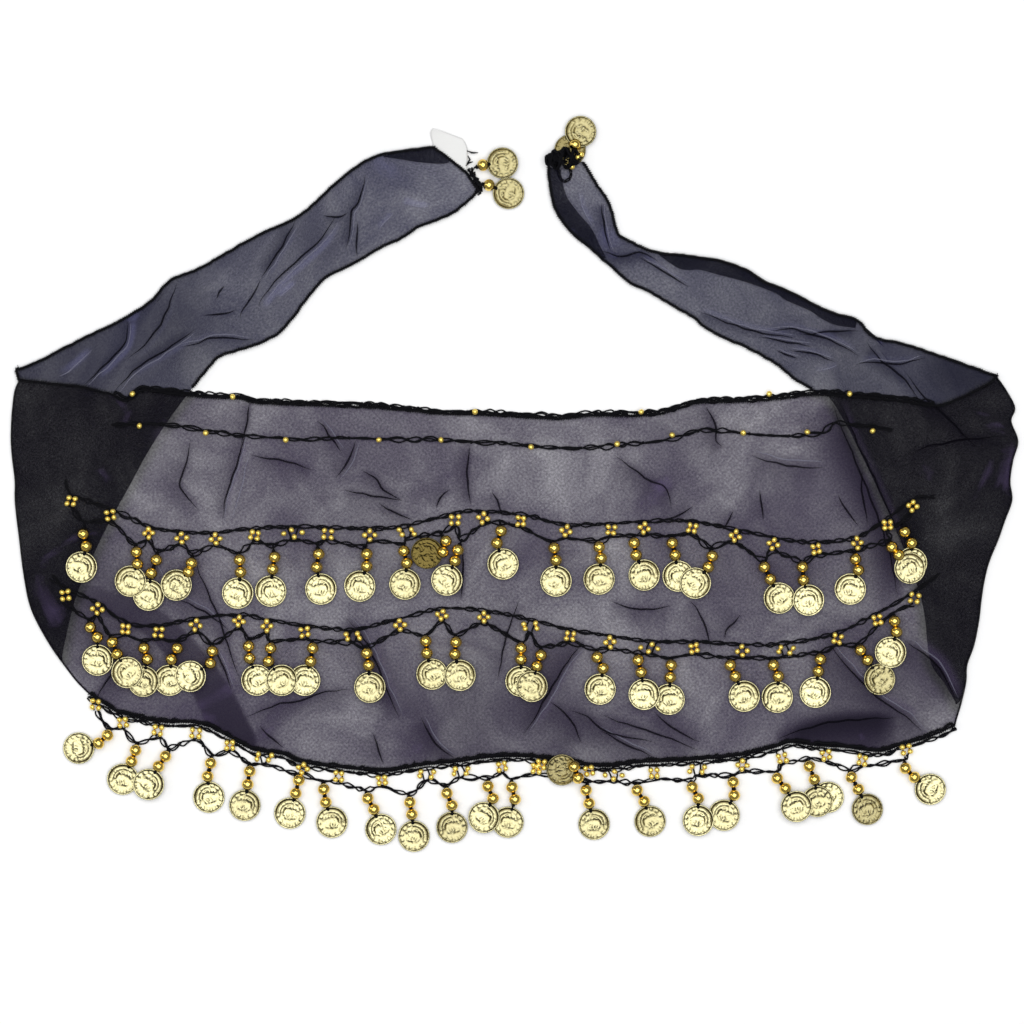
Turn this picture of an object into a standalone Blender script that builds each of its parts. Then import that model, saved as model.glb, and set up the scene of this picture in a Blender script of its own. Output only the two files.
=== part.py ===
"""Belly dance hip scarf: sheer black chiffon, crocheted edges, gold beads and coins.

It lies flat on z = 0, its panel on top and its two tie ends folded back under the panel.
Metres, +Z up, +X across the panel, +Y from the hem towards the waist edge.

The tables give places in chart steps: across from the left, down from the top of a chart
of the laid-out scarf. One coin, 20 mm wide, is 31.5 steps wide there, which sizes the rest.
"""
import bpy
import bmesh
from math import ceil, cos, pi, sin
from mathutils import Matrix, Vector
from mathutils.bvhtree import BVHTree
from mathutils.geometry import delaunay_2d_cdt

# Driving sizes, in metres

COIN_DIAMETER = 0.020
COIN_STEPS = 31.5
STEP = COIN_DIAMETER / COIN_STEPS
CHART_MIDDLE = (514.5, 484.5)

WALL = 0.0012              # chiffon wall
GAP = 0.0003               # between pieces that touch
LAYER = WALL + GAP         # how far one cloth lies above the one below it
REST_NEAR = 0.0010         # a cloth stays up this far past the edge of the cloth below
REST_FAR = 0.0080          # and has reached the floor this far past it
LIP = 0.0013               # width of the rolled edge at the two folds
LIP_ROUND = 0.0004         # how much lower the top is at that edge
FOLD_INSET = 0.0018        # the tie under the panel ends this far inside the fold
LATTICE = 0.036            # spacing of the plain points inside a cloth

CORD_RADIUS = 0.0008
TRIM_RADIUS = 0.0009       # the heavier cord along the waist and hem edges
STRAND_RADIUS = 0.0007
FLOOR_CLEARANCE = 0.0003
FOLD_NOTICED = 0.0002      # a cord bends over any rise under it that is higher than this
BEAD_RADIUS = 0.0038
BEAD_SIDES = 4
COIN_THICKNESS = 0.0010
COIN_SIDES = 8
COIN_HOLE = 0.12           # the hole's place, as a share of the way across the coin
COIN_RISE = 0.0006         # a coin's threaded edge lies this much above its free edge
COIN_LAYER = 0.0020        # a coin that lies on its neighbour is this much higher
CLUSTER_REACH = 6.5        # chart steps from a bead cluster's middle to the cords

# Panel: waist edge and hem edge, left to right
# across, down

WAIST_EDGE = (
    (20, 379), (60, 384), (81, 386), (100, 391), (114, 394), (128, 400), (141, 390), (165, 392),
    (199, 396), (240, 398), (255, 402), (300, 404), (360, 406), (400, 409), (440, 413),
    (480, 414), (520, 416), (560, 418), (590, 415), (635, 415), (660, 413), (680, 407),
    (700, 402), (740, 401), (770, 399), (815, 394), (850, 396), (900, 400), (935, 405),
    (960, 397), (985, 385), (996, 376),
)

# across, down

HEM_EDGE = (
    (90, 695), (105, 705), (118, 713), (145, 720), (165, 723), (200, 724), (230, 738),
    (255, 751), (283, 755), (300, 763), (340, 768), (385, 772), (420, 766), (460, 762),
    (500, 757), (545, 759), (600, 767), (640, 763), (665, 762), (700, 760), (740, 756),
    (775, 748), (790, 743), (815, 746), (845, 748), (880, 752), (900, 745), (915, 742),
    (940, 733), (955, 726),
)

# The two folds, where the cloth turns under: down, left edge across, right edge across

FOLD_EDGES = (
    (390, 15, 1006),
    (408, 12.5, 1015),
    (421, 11.5, 1011),
    (441, 11, 1018),
    (460, 12.5, 1013),
    (481, 15, 1010),
    (500, 15, 1012),
    (520, 17, 1005),
    (540, 19.5, 998),
    (562, 22, 989),
    (582, 25, 984),
    (602, 29, 981),
    (620, 36, 979),
    (645, 50, 974),
    (665, 64, 967),
    (682, 77, 966),
)
RIGHT_FOLD_FOOT = ((704, 961), (718, 957))

# Tie ends, from the fold to the tip, a row for each section across them
# upper across, upper down, lower across, lower down

TIE_LEFT = (
    (16, 370, 61, 661),
    (41, 360, 75, 600),
    (60, 350, 98, 545),
    (80, 340, 117, 508),
    (100, 330, 130, 485),
    (130, 315, 145, 457),
    (152, 300, 165, 425),
    (171, 280, 190, 391),
    (200, 268, 218, 357),
    (228, 252, 252, 346),
    (260, 234, 280, 332),
    (300, 215, 304, 302),
    (338, 181, 325, 278),
    (371, 158, 360, 260),
    (402, 151, 402, 238),
    (433, 147, 440, 219),
    (467, 173, 477, 190),
)
TIE_RIGHT = (
    (996, 376, 957, 705),
    (968, 366, 930, 665),
    (930, 353, 908, 580),
    (900, 343, 880, 510),
    (873, 337, 860, 470),
    (857, 320, 840, 430),
    (820, 308, 815, 393),
    (795, 295, 785, 371),
    (762, 281, 746, 347),
    (720, 261, 703, 326),
    (680, 255, 660, 298),
    (645, 249, 613, 268),
    (618, 235, 590, 248),
    (612, 213, 567, 227),
    (600, 190, 551, 193),
    (583, 163.3, 549, 166.3),
)

# Edges of the ties that are turned over and lie on them: outer across, down, inner across, down

TIE_LEFT_FLAP = (
    (386, 155.5, 388, 157.5),
    (402, 152.5, 402, 160),
    (421, 152, 421, 163),
    (432, 149, 440, 164.5),
    (440, 155, 448, 162),
)
TIE_RIGHT_LOWER_FLAP = (
    (551.5, 179, 563, 180),
    (552.5, 193, 568, 197),
    (561, 218, 580, 215),
    (574, 233, 592, 228),
    (590, 247, 601, 246),
    (603, 261, 605, 258),
)
TIE_RIGHT_UPPER_FLAP = (
    (662, 254.5, 664, 259),
    (680, 256, 680, 269),
    (720, 262, 720, 276),
    (762, 282, 760, 288),
    (795, 296, 785, 300),
    (820, 309, 815, 316),
    (856, 321, 850, 328),
)

# Largest folds: start, middle and end (across, down), half width and height in millimetres

PANEL_FOLDS = (
    (250, 396, 247, 416, 240, 446, 5, 1.8),
    (190, 438, 187, 462, 181, 492, 5, 1.5),
    (340, 488, 375, 492, 415, 520, 6, 1.8),
    (470, 452, 467, 475, 471, 504, 5, 1.5),
    (612, 455, 655, 482, 674, 514, 7, 2.0),
    (704, 396, 716, 436, 724, 462, 5, 1.8),
    (748, 455, 785, 466, 830, 468, 9, 2.0),
    (836, 492, 846, 508, 860, 530, 5, 1.5),
    (197, 555, 216, 608, 240, 686, 6, 2.0),
    (340, 612, 372, 655, 403, 724, 7, 2.2),
    (418, 714, 436, 742, 458, 766, 6, 2.2),
    (243, 718, 290, 700, 354, 688, 6, 1.8),
    (585, 638, 552, 690, 522, 738, 7, 2.2),
    (566, 707, 610, 732, 658, 744, 6, 2.0),
    (742, 612, 728, 634, 722, 660, 5, 1.5),
    (823, 638, 868, 688, 928, 737, 8, 2.2),
    (903, 638, 938, 668, 954, 696, 6, 2.0),
    (772, 742, 835, 720, 905, 716, 7, 2.4),
    (84, 598, 170, 645, 246, 736, 9, 2.6),
    (463, 545, 464, 575, 461, 602, 4, 1.3),
)
TIE_LEFT_FOLDS = (
    (172, 284, 150, 340, 112, 376, 6, 2.0),
    (178, 286, 170, 326, 128, 372, 5, 1.8),
    (124, 330, 108, 350, 86, 368, 5, 1.8),
    (295, 221, 278, 256, 258, 284, 6, 2.0),
    (366, 172, 352, 212, 345, 246, 5, 1.8),
    (345, 218, 305, 253, 262, 299, 7, 2.2),
    (250, 306, 200, 316, 168, 322, 6, 1.6),
    (255, 344, 212, 338, 172, 348, 6, 2.0),
    (392, 200, 400, 214, 420, 214, 6, 1.6),
)
TIE_RIGHT_FOLDS = (
    (606, 208, 604, 226, 611, 250, 4, 1.6),
    (612, 252, 634, 255, 656, 266, 5, 1.6),
    (700, 312, 738, 324, 800, 339, 6, 2.0),
    (766, 340, 790, 342, 812, 346, 4, 1.5),
    (786, 350, 812, 353, 834, 361, 5, 1.8),
    (796, 334, 830, 338, 862, 358, 6, 1.8),
    (862, 334, 878, 358, 912, 378, 7, 2.2),
)

# Care label, left bare: across, down

LABEL = ((433, 129), (464, 139.5), (467.5, 150), (467.5, 171.5), (434, 146))

# Chain of crochet that lies across the panel: across, down

CHAIN = (
    (112, 425), (140, 424), (170, 425), (200, 430), (240, 435), (300, 440), (340, 438),
    (440, 440), (500, 443), (560, 448), (600, 447), (640, 443), (670, 440), (690, 433),
    (710, 430), (740, 433), (780, 436), (820, 433), (835, 423), (850, 424), (893, 430),
)
WAIST_CHAIN_FROM = 113     # the crochet on the waist edge starts and ends here, across
WAIST_CHAIN_TO = 936

# Rows of coins, a line for each repeat of the crochet: the bead cluster, the cord's low point,
# the upper bead, the lower bead and the coin, each across and down, and how many coins it lies on

ROW_1 = (
    (72, 501, 85, 522, 84, 534, 87, 546, 82, 567, 0),
    (111, 515, 136, 545, 137, 552, 138, 564, 131, 581, 1),
    (149, 533, 158, 551, 157, 560, 152, 573, 149, 595, 0),
    (182, 538, 193, 553, 192, 563, 189, 572, 177, 585, 1),
    (216, 539, 238, 553, 240, 560, 241, 572, 238, 593, 0),
    (255, 535, 273, 545, 275, 557, 273, 569, 271, 591, 0),
    (293, 533, 317, 543, 319, 554, 317, 567, 321, 589, 0),
    (328, 534, 363, 547, 367, 554, 367, 566, 360, 586, 0),
    (370, 535, 403, 543, 404, 551, 407, 563, 405, 584, 0),
    (407, 532, 440, 533, 446, 541, 443, 552, 427, 558, 0),
    (455, 520, 462, 539, 458, 550, 455, 561, 447, 580, 1),
    (483, 518, 500, 522, 501, 531, 497, 543, 503, 564, 0),
    (521, 521, 551, 541, 554, 548, 556, 560, 556, 581, 0),
    (566, 531, 598, 541, 599, 547, 601, 558, 599, 579, 0),
    (611, 530, 633, 536, 634, 543, 636, 555, 644, 575, 0),
    (644, 528, 672, 536, 672, 543, 675, 555, 678, 576, 0),
    (692, 528, 710, 547, 712, 556, 708, 567, 695, 583, 1),
    (735, 536, 762, 560, 764, 567, 770, 579, 779, 598, 0),
    (773, 544, 801, 561, 802, 567, 803, 580, 808, 600, 1),
    (816, 549, 854, 551, 855, 559, 858, 570, 850, 589, 0),
    (857, 543, 889, 540, 891, 547, 898, 556, 908, 573, 1),
    (887, 525, 903, 521, 904, 532, 911, 543, 918, 564, 0),
)
ROW_1_ENDS = (66, 480, 935, 497, 912, 506)

ROW_2 = (
    (66, 595, 89, 620, 91, 627, 98, 637, 98, 660, 0),
    (98, 609, 110, 635, 113, 642, 118, 654, 128, 672, 2),
    (126, 629, 142, 640.5, 144.5, 648, 148, 659, 144, 681, 1),
    (159, 632, 178, 641, 178, 648, 172, 659, 170, 680, 0),
    (196, 625, 213, 644, 213, 651, 211, 663, 191, 676, 1),
    (239, 621, 249, 639, 249, 646, 250, 658, 257, 680, 0),
    (267, 626, 271, 641, 271, 648, 269, 661, 282, 680, 1),
    (305, 632, 312, 641, 313, 648, 311, 661, 305, 680, 0),
    (353, 636, 366, 647, 367, 653, 369, 665, 370, 687, 0),
    (400, 625, 425, 635, 426, 641, 427, 653, 432, 674, 0),
    (442, 615, 456, 635, 456, 642, 455, 654, 460, 675, 1),
    (484, 617, 521, 642, 521, 648, 521, 659, 521, 681, 0),
    (530, 626, 541, 647, 541, 655, 537, 666, 532, 686, 1),
    (570, 636, 597, 650, 597, 657, 603, 668, 600, 689, 0),
    (610, 642, 637, 653, 638, 660, 641, 672, 644, 694, 1),
    (650, 648, 671, 658, 671, 665, 670, 677, 669, 699, 0),
    (694, 648, 729, 658, 730, 665, 735, 676, 744, 696, 0),
    (742, 651, 771, 658, 773, 665, 778, 676, 777, 697, 0),
    (785, 650, 820, 652, 820, 659, 818, 671, 815, 692, 0),
    (837, 639, 858, 644, 860, 650, 867, 660, 879, 679, 0),
    (877, 620, 893, 613, 894, 621, 896, 632, 890, 652, 1),
)
ROW_2_ENDS = (52, 577, 940, 573, 914, 598)

HEM_ROW = (
    (96, 704, 109, 728, 108, 735, 99, 743, 79, 748, 0),
    (123, 722, 137, 743, 136, 750, 132, 761, 123, 779, 0),
    (158, 730, 170, 748, 166, 756, 159, 766, 149, 784, 1),
    (196, 733, 212, 755, 211, 763, 208, 776, 209, 797, 0),
    (230, 745, 249, 763, 250, 771, 248, 784, 245, 805, 0),
    (264, 757, 294, 773, 299, 780, 296, 793, 290, 813, 0),
    (303, 768, 323, 781, 324, 789, 326, 802, 332, 822, 0),
    (339, 776, 366, 790, 368, 798, 374, 809, 381, 829, 0),
    (382, 780, 409, 794, 410, 802, 412, 814, 414, 836, 0),
    (426, 774, 446, 785, 447, 793, 452, 805, 452, 827, 0),
    (461, 771, 488, 778, 488, 786, 493, 798, 484, 817, 1),
    (502, 766, 511, 779, 512, 787, 515, 799, 508, 822, 0),
    (536, 768, 588, 781, 586, 790, 589, 803, 594, 824, 0),
    (614, 775, 636, 783, 637, 790, 644, 801, 650, 821, 0),
    (654, 773, 691, 780, 692, 787, 698, 798, 698, 820, 1),
    (697, 769, 733, 775, 733, 782, 734, 795, 724, 815, 0),
    (742, 765, 776, 771, 777, 778, 785, 788, 796, 806, 2),
    (782, 758, 807, 759, 809, 766, 814, 779, 817, 801, 1),
    (826, 755, 849, 769, 851, 777, 858, 789, 867, 809, 0),
    (862, 760, 904, 760, 905, 768, 914, 777, 930, 789, 0),
)
HEM_ROW_END = (906, 749)
HEM_TURNED_UP = (588, 781, 578, 777.5, 574, 766, 558, 769.5, 1)
HEM_SECOND_COIN = (814, 779, 828, 797)

# The crochet knot at each tip: across, down, radius in millimetres, height of its middle

TIP_LEFT_KNOT = (
    (470.5, 167.5, 0.9, 1.4),
    (471, 173, 1.5, 2.0),
    (476.7, 182.5, 1.9, 2.3),
    (479.7, 189, 1.5, 1.9),
    (477, 192.8, 1.0, 1.4),
)
TIP_RIGHT_KNOT = (
    (544, 163, 1.4, 2.0),
    (551, 159, 3.8, 4.4),
    (562, 156, 4.6, 5.2),
    (573, 155, 4.2, 4.8),
    (580, 159, 2.0, 2.8),
)

# Pendants at the tips: which knot row they start from, bead, coin, and coins under it

TIP_LEFT_PENDANTS = (
    (1, 483, 165.5, 502.5, 163.5, 1),
    (2, 489, 185.5, 508.5, 193.5, 0),
)
TIP_RIGHT_PENDANTS = (
    (3, 575, 145, 580.5, 132, 1),
)
TIP_RIGHT_UNDER_COIN = (566, 157, 567.5, 148.5)


# Chart and curves

def at(across, down):
    """Place of a chart point in metres."""
    return Vector(((across - CHART_MIDDLE[0]) * STEP, (CHART_MIDDLE[1] - down) * STEP))


def places(rows):
    return [at(across, down) for across, down in rows]


def smooth(points, spans):
    """Points of a smooth curve through the given ones, with as many spans between each two."""
    curve = []
    last = len(points) - 1
    for i in range(last):
        before, start = points[max(i - 1, 0)], points[i]
        end, after = points[i + 1], points[min(i + 2, last)]
        for k in range(spans):
            t = k / spans
            curve.append(start + 0.5 * t * (end - before)
                         + t * t * (before - 2.5 * start + 2 * end - 0.5 * after)
                         + 0.5 * t * t * t * (3 * (start - end) + after - before))
    curve.append(points[-1])
    return curve


def evenly(points, spacing):
    """The same path with points at most one spacing apart."""
    path = [points[0]]
    for start, end in zip(points, points[1:]):
        count = max(1, ceil((end - start).length / spacing))
        path += [start.lerp(end, k / count) for k in range(1, count + 1)]
    return path


def beside(points, distance):
    """The path moved sideways, to its left for a positive distance."""
    moved = []
    for i, point in enumerate(points):
        ahead = points[min(i + 1, len(points) - 1)] - points[max(i - 1, 0)]
        ahead.normalize()
        moved.append(point + distance * Vector((-ahead.y, ahead.x)))
    return moved


def lengthened(points, by):
    """The path with its two ends run on straight."""
    first = points[0] + (points[0] - points[1]).normalized() * by
    last = points[-1] + (points[-1] - points[-2]).normalized() * by
    return [first] + points + [last]


def nearest(point, path):
    """Distance from a point to a path, and how far along the path that is, from 0 to 1."""
    best, along = 1.0, 0.0
    for i, (start, end) in enumerate(zip(path, path[1:])):
        edge = end - start
        t = min(1.0, max(0.0, (point - start).dot(edge) / edge.length_squared))
        distance = (point - start - t * edge).length
        if distance < best:
            best, along = distance, (i + t) / (len(path) - 1)
    return best, along


def point_along(path, along):
    """Point a given part of the way along a path, counted in its spans."""
    place = along * (len(path) - 1)
    i = min(int(place), len(path) - 2)
    return path[i].lerp(path[i + 1], place - i)


def within(point, outline):
    inside = False
    for start, end in zip(outline, outline[1:] + outline[:1]):
        if (start.y > point.y) != (end.y > point.y):
            crossing = start.x + (point.y - start.y) * (end.x - start.x) / (end.y - start.y)
            inside = inside != (point.x < crossing)
    return inside


def outside(point, outline):
    """Distance from a point to an outline, 0 inside it."""
    if within(point, outline):
        return 0.0
    return nearest(point, outline + outline[:1])[0]


# Heights

def fold_curve(row):
    """Centre of a fold, its half width and its height, in metres."""
    ends = [at(row[0], row[1]), at(row[2], row[3]), at(row[4], row[5])]
    return smooth(ends, 2), row[6] / 1000, row[7] / 1000


def fold_guides(row):
    """The crest and the two feet of a fold, as lines for the cloth's faces to follow."""
    crest, half_width, _ = fold_curve(row)
    guides = [crest]
    for side in (-1, 1):
        foot = beside(crest, side * half_width)
        guides.append([crest[0]] + foot[1:-1] + [crest[-1]])
    return guides


def fold_height(point, rows):
    """Height of the highest fold over a point: a ridge that runs out at both ends."""
    height = 0.0
    for row in rows:
        crest, half_width, top = fold_curve(row)
        distance, along = nearest(point, crest)
        run_out = min(1.0, 4 * along, 4 * (1 - along))
        height = max(height, top * run_out * max(0.0, 1 - distance / half_width))
    return height


def lift_over(point, outlines, reach=0.0):
    """How far the cloths with these outlines hold up what lies over them."""
    away = min(outside(point, outline) for outline in outlines) - reach
    run = min(1.0, max(0.0, (away - REST_NEAR) / (REST_FAR - REST_NEAR)))
    return LAYER * (1 - run)


# Making solids

def new_object(name, bm, colour, roughness, metallic=0.0):
    """Mesh object with its own material."""
    mesh = bpy.data.meshes.new(name)
    bmesh.ops.recalc_face_normals(bm, faces=bm.faces)
    bm.to_mesh(mesh)
    bm.free()
    material = bpy.data.materials.new(name)
    material.use_nodes = True
    shader = material.node_tree.nodes["Principled BSDF"]
    shader.inputs["Base Color"].default_value = colour
    shader.inputs["Roughness"].default_value = roughness
    shader.inputs["Metallic"].default_value = metallic
    mesh.materials.append(material)
    made = bpy.data.objects.new(name, mesh)
    bpy.context.scene.collection.objects.link(made)
    return made


def cloth_bmesh(outline, guides, under, over):
    """Closed wall of cloth: faces that follow the guides, at two heights, joined round the edge."""
    points = list(outline)
    edges = []
    for guide in guides:
        edges += [(len(points) + i, len(points) + i + 1) for i in range(len(guide) - 1)]
        points += guide
    low = Vector((min(p.x for p in outline), min(p.y for p in outline)))
    high = Vector((max(p.x for p in outline), max(p.y for p in outline)))
    for i in range(1, ceil((high.x - low.x) / LATTICE)):
        for j in range(1, ceil((high.y - low.y) / LATTICE)):
            spot = low + LATTICE * Vector((i, j))
            clear = min((spot - p).length for p in points)
            if clear > LATTICE / 3 and within(spot, outline):
                points.append(spot)
    loop = list(range(len(outline)))
    flat, _, faces, *_ = delaunay_2d_cdt(points, edges, [loop], 1, 1e-5)
    faces = [face for face in faces if within(sum((flat[i] for i in face), Vector((0, 0))) / 3,
                                              outline)]
    used = sorted({i for face in faces for i in face})
    bm = bmesh.new()
    tops = {i: bm.verts.new((flat[i].x, flat[i].y, over(flat[i]))) for i in used}
    bottoms = {i: bm.verts.new((flat[i].x, flat[i].y, under(flat[i]))) for i in used}
    count = {}
    for face in faces:
        bm.faces.new([tops[i] for i in face])
        bm.faces.new([bottoms[i] for i in reversed(face)])
        for a, b in zip(face, face[1:] + face[:1]):
            count[frozenset((a, b))] = count.get(frozenset((a, b)), 0) + 1
    for face in faces:
        for a, b in zip(face, face[1:] + face[:1]):
            if count[frozenset((a, b))] == 1:
                bm.faces.new((tops[a], bottoms[a], bottoms[b], tops[b]))
    return bm


def axes_along(direction):
    """Level axis across a direction, the axis above it, and the direction itself."""
    ahead = direction.normalized()
    across = ahead.cross(Vector((0, 0, 1))).normalized()
    return across, across.cross(ahead), ahead


def add_loft(bm, stations, sides):
    """Closed body through rings: for each its centre, radius, turn in half sides and axis."""
    rings = []
    for i, (centre, radius, turn, axis) in enumerate(stations):
        before = stations[max(i - 1, 0)][0]
        after = stations[min(i + 1, len(stations) - 1)][0]
        across, up, _ = axes_along(axis or after - before)
        angles = [(2 * k + turn) * pi / sides for k in range(sides)]
        ring = [bm.verts.new(centre + radius * (cos(a) * across + sin(a) * up)) for a in angles]
        rings.append((ring, turn))
    bm.faces.new(rings[0][0])
    bm.faces.new(rings[-1][0])
    for (lower, turn), (upper, next_turn) in zip(rings, rings[1:]):
        for k in range(sides):
            n = (k + 1) % sides
            if turn == next_turn:
                bm.faces.new((lower[k], lower[n], upper[n], upper[k]))
            else:
                bm.faces.new((lower[k], lower[n], upper[k]))
                bm.faces.new((lower[n], upper[n], upper[k]))


def add_tube(bm, path, radius, sides):
    add_loft(bm, [(point, radius, 0, None) for point in path], sides)


def level(direction):
    return Vector((direction.x, direction.y, 0))


def add_beaded_strand(bm, start, beads, end):
    """A thread from start to end through its beads, as one closed body."""
    path = [start] + beads + [end]
    room = BEAD_RADIUS * 1.1
    stations = [(start, STRAND_RADIUS, 0, None)]
    for i, bead in enumerate(beads):
        inwards = level(bead - path[i]).normalized()
        onwards = level(path[i + 2] - bead).normalized()
        if i == 0 and level(bead - start).length > room:
            stations.append((bead - inwards * BEAD_RADIUS, STRAND_RADIUS, i, None))
        axis = (inwards + onwards).normalized()
        shoulder = axis * BEAD_RADIUS * 0.42
        stations.append((bead - shoulder, BEAD_RADIUS * 0.92, i, axis))
        stations.append((bead + shoulder, BEAD_RADIUS * 0.92, i + 1, axis))
        if i + 1 < len(beads):
            stations.append(((bead + beads[i + 1]) / 2, STRAND_RADIUS, i + 1, None))
        else:
            stations.append((bead + onwards * BEAD_RADIUS, STRAND_RADIUS, i + 1, None))
    if level(end - beads[-1]).length > room:
        stations.append((end, STRAND_RADIUS, len(beads), None))
    add_loft(bm, stations, BEAD_SIDES)


def add_coin(bm, hang_from, coin, ground, layer):
    """Coin that leans on its free edge, a layer higher for each coin under it. Gives its hole."""
    hang = (coin - hang_from).normalized() * COIN_DIAMETER / 2
    rim = [coin + Matrix.Rotation(k * pi / 4, 2) @ hang for k in range(8)]
    base = max(ground(spot, COIN_DIAMETER / 6) for spot in rim + [coin]) + COIN_LAYER * layer
    near = Vector((*(coin - hang), base + COIN_THICKNESS / 2 + COIN_RISE))
    far = Vector((*(coin + hang), base + COIN_THICKNESS / 2))
    across, up, ahead = axes_along(far - near)
    frame = Matrix((across, ahead, up)).transposed().to_4x4()
    bmesh.ops.create_cone(bm, cap_ends=True, segments=COIN_SIDES, radius1=COIN_DIAMETER / 2,
                          radius2=COIN_DIAMETER / 2, depth=COIN_THICKNESS,
                          matrix=Matrix.Translation((near + far) / 2) @ frame)
    return near.lerp(far, COIN_HOLE)


def add_pendant(bm, root, row, ground):
    """Beads that lie on the ground and a coin: upper bead, lower bead, coin, coins under it."""
    spots = [at(row[0], row[1]), at(row[2], row[3])]
    if spots[0] == spots[1]:
        spots.pop()
    beads = [Vector((*spot, ground(spot, BEAD_RADIUS * 0.8) + BEAD_RADIUS)) for spot in spots]
    hole = add_coin(bm, spots[-1], at(row[4], row[5]), ground, row[6])
    add_beaded_strand(bm, root, beads, hole)


def union(name, body, parts, colour, roughness, metallic=0.0):
    """One solid from overlapping closed shapes, in the body and in the parts."""
    joined = new_object(name, body, colour, roughness, metallic)
    helper = new_object(name + "_parts", parts, colour, roughness)
    helper.hide_render = True
    helper.display_type = "WIRE"
    fuse = joined.modifiers.new("Fuse", "BOOLEAN")
    fuse.operation = "UNION"
    fuse.solver = "EXACT"
    fuse.object = helper
    fuse.use_self = True
    return joined


# The cloth pieces

BLACK_CHIFFON = (0.020, 0.020, 0.026, 1.0)
BLACK_CORD = (0.006, 0.006, 0.008, 1.0)
PALE_GOLD = (0.70, 0.58, 0.25, 1.0)
LABEL_WHITE = (0.83, 0.83, 0.81, 1.0)


def fold_edge(side):
    """Left (side 0) or right (side 1) fold of the panel, from the waist edge to the hem."""
    rows = [(row[1 + side], row[0]) for row in FOLD_EDGES]
    if side == 1:
        rows += [(across, down) for down, across in RIGHT_FOLD_FOOT]
    ends = (WAIST_EDGE[0], HEM_EDGE[0]) if side == 0 else (WAIST_EDGE[-1], HEM_EDGE[-1])
    return places([ends[0]] + rows + [ends[1]])


def section_outline(rows):
    """Outline of a piece from its sections: out along the first edge, back along the second."""
    first = [at(row[0], row[1]) for row in rows]
    second = [at(row[2], row[3]) for row in rows]
    return first + second[::-1]


def tie_outline(rows, side):
    """Outline of a tie, which ends inside the panel's fold and follows it."""
    inwards = 1 if side == 0 else -1
    fold = beside(fold_edge(side), inwards * FOLD_INSET)
    edge = section_outline(rows)
    top, bottom = edge[0], edge[-1]
    fold = [p for p in fold if bottom.y + REST_NEAR < p.y < top.y - 3 * REST_NEAR]
    edge[0] = edge[0] + Vector((inwards * FOLD_INSET, 0))
    edge[-1] = edge[-1] + Vector((inwards * FOLD_INSET, 0))
    return edge + fold[::-1]


def make_tie(name, outline, rows):
    guides = [guide for row in rows for guide in fold_guides(row)]
    bm = cloth_bmesh(outline, guides, lambda p: fold_height(p, rows),
                     lambda p: fold_height(p, rows) + WALL)
    return new_object(name, bm, BLACK_CHIFFON, 0.8)


def make_flap(name, rows, tie_folds):
    """Turned-over edge of a tie, one layer above it."""
    outline = section_outline(rows)
    level = LAYER + max(fold_height(p, tie_folds) for p in outline)
    bm = cloth_bmesh(outline, [], lambda p: level, lambda p: level + WALL)
    return new_object(name, bm, BLACK_CHIFFON, 0.8)


def make_panel(outline, ties, folds):
    """The panel: down on the floor, up over the ties, rolled down at its two folds."""
    def lifted(point):
        return lift_over(point, ties)

    def at_fold(point):
        return min(nearest(point, fold)[0] for fold in folds) < GAP

    def under(point):
        return 0.0 if at_fold(point) else lifted(point) + fold_height(point, PANEL_FOLDS)

    def over(point):
        rounding = LIP_ROUND * lifted(point) / LAYER if at_fold(point) else 0.0
        return lifted(point) + fold_height(point, PANEL_FOLDS) + WALL - rounding

    guides = [guide for row in PANEL_FOLDS for guide in fold_guides(row)]
    for side, rows in enumerate((TIE_LEFT, TIE_RIGHT)):
        hidden = [at(row[2], row[3]) for row in rows[:9]]
        away = -1 if side == 0 else 1
        for distance in (REST_NEAR, REST_FAR):
            guides.append(lengthened(beside(hidden, away * distance), REST_FAR * 2))
        guides.append(lengthened(beside(folds[side], -away * LIP), LIP * 3))
    return new_object("panel", cloth_bmesh(outline, guides, under, over), BLACK_CHIFFON, 0.8)


def surface_of(panel):
    """Height of the panel's upper side, or of the floor beside it, around a point."""
    mesh = panel.data
    tree = BVHTree.FromPolygons([v.co for v in mesh.vertices],
                                [p.vertices for p in mesh.polygons])

    def height(point, spread=0.0):
        top = 0.0
        for dx, dy in ((0, 0), (1, 0), (-1, 0), (0, 1), (0, -1)):
            start = Vector((point.x + dx * spread, point.y + dy * spread, 1.0))
            hit = tree.ray_cast(start, Vector((0, 0, -1)))[0]
            if hit is not None:
                top = max(top, hit.z)
        return top + FLOOR_CLEARANCE
    return height


# The crochet and its coins

def cord_path(points, radius, ground, spacing):
    """Path of a cord that lies on the ground, with more points where it crosses a fold."""
    laid = [Vector((*p, ground(p, radius * 2) + radius)) for p in evenly(points, spacing)]
    path = [laid[0]]
    for start, end in zip(laid, laid[1:]):
        for share in (0.25, 0.5, 0.75):
            spot = start.lerp(end, share)
            height = ground(spot.xy, radius * 2) + radius
            if height > spot.z + FOLD_NOTICED:
                path.append(Vector((spot.x, spot.y, height)))
        path.append(end)
    return path


def make_cord(name, points, radius, ground, spacing):
    bm = bmesh.new()
    add_tube(bm, cord_path(points, radius, ground, spacing), radius, 3)
    return new_object(name, bm, BLACK_CORD, 0.9)


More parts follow.
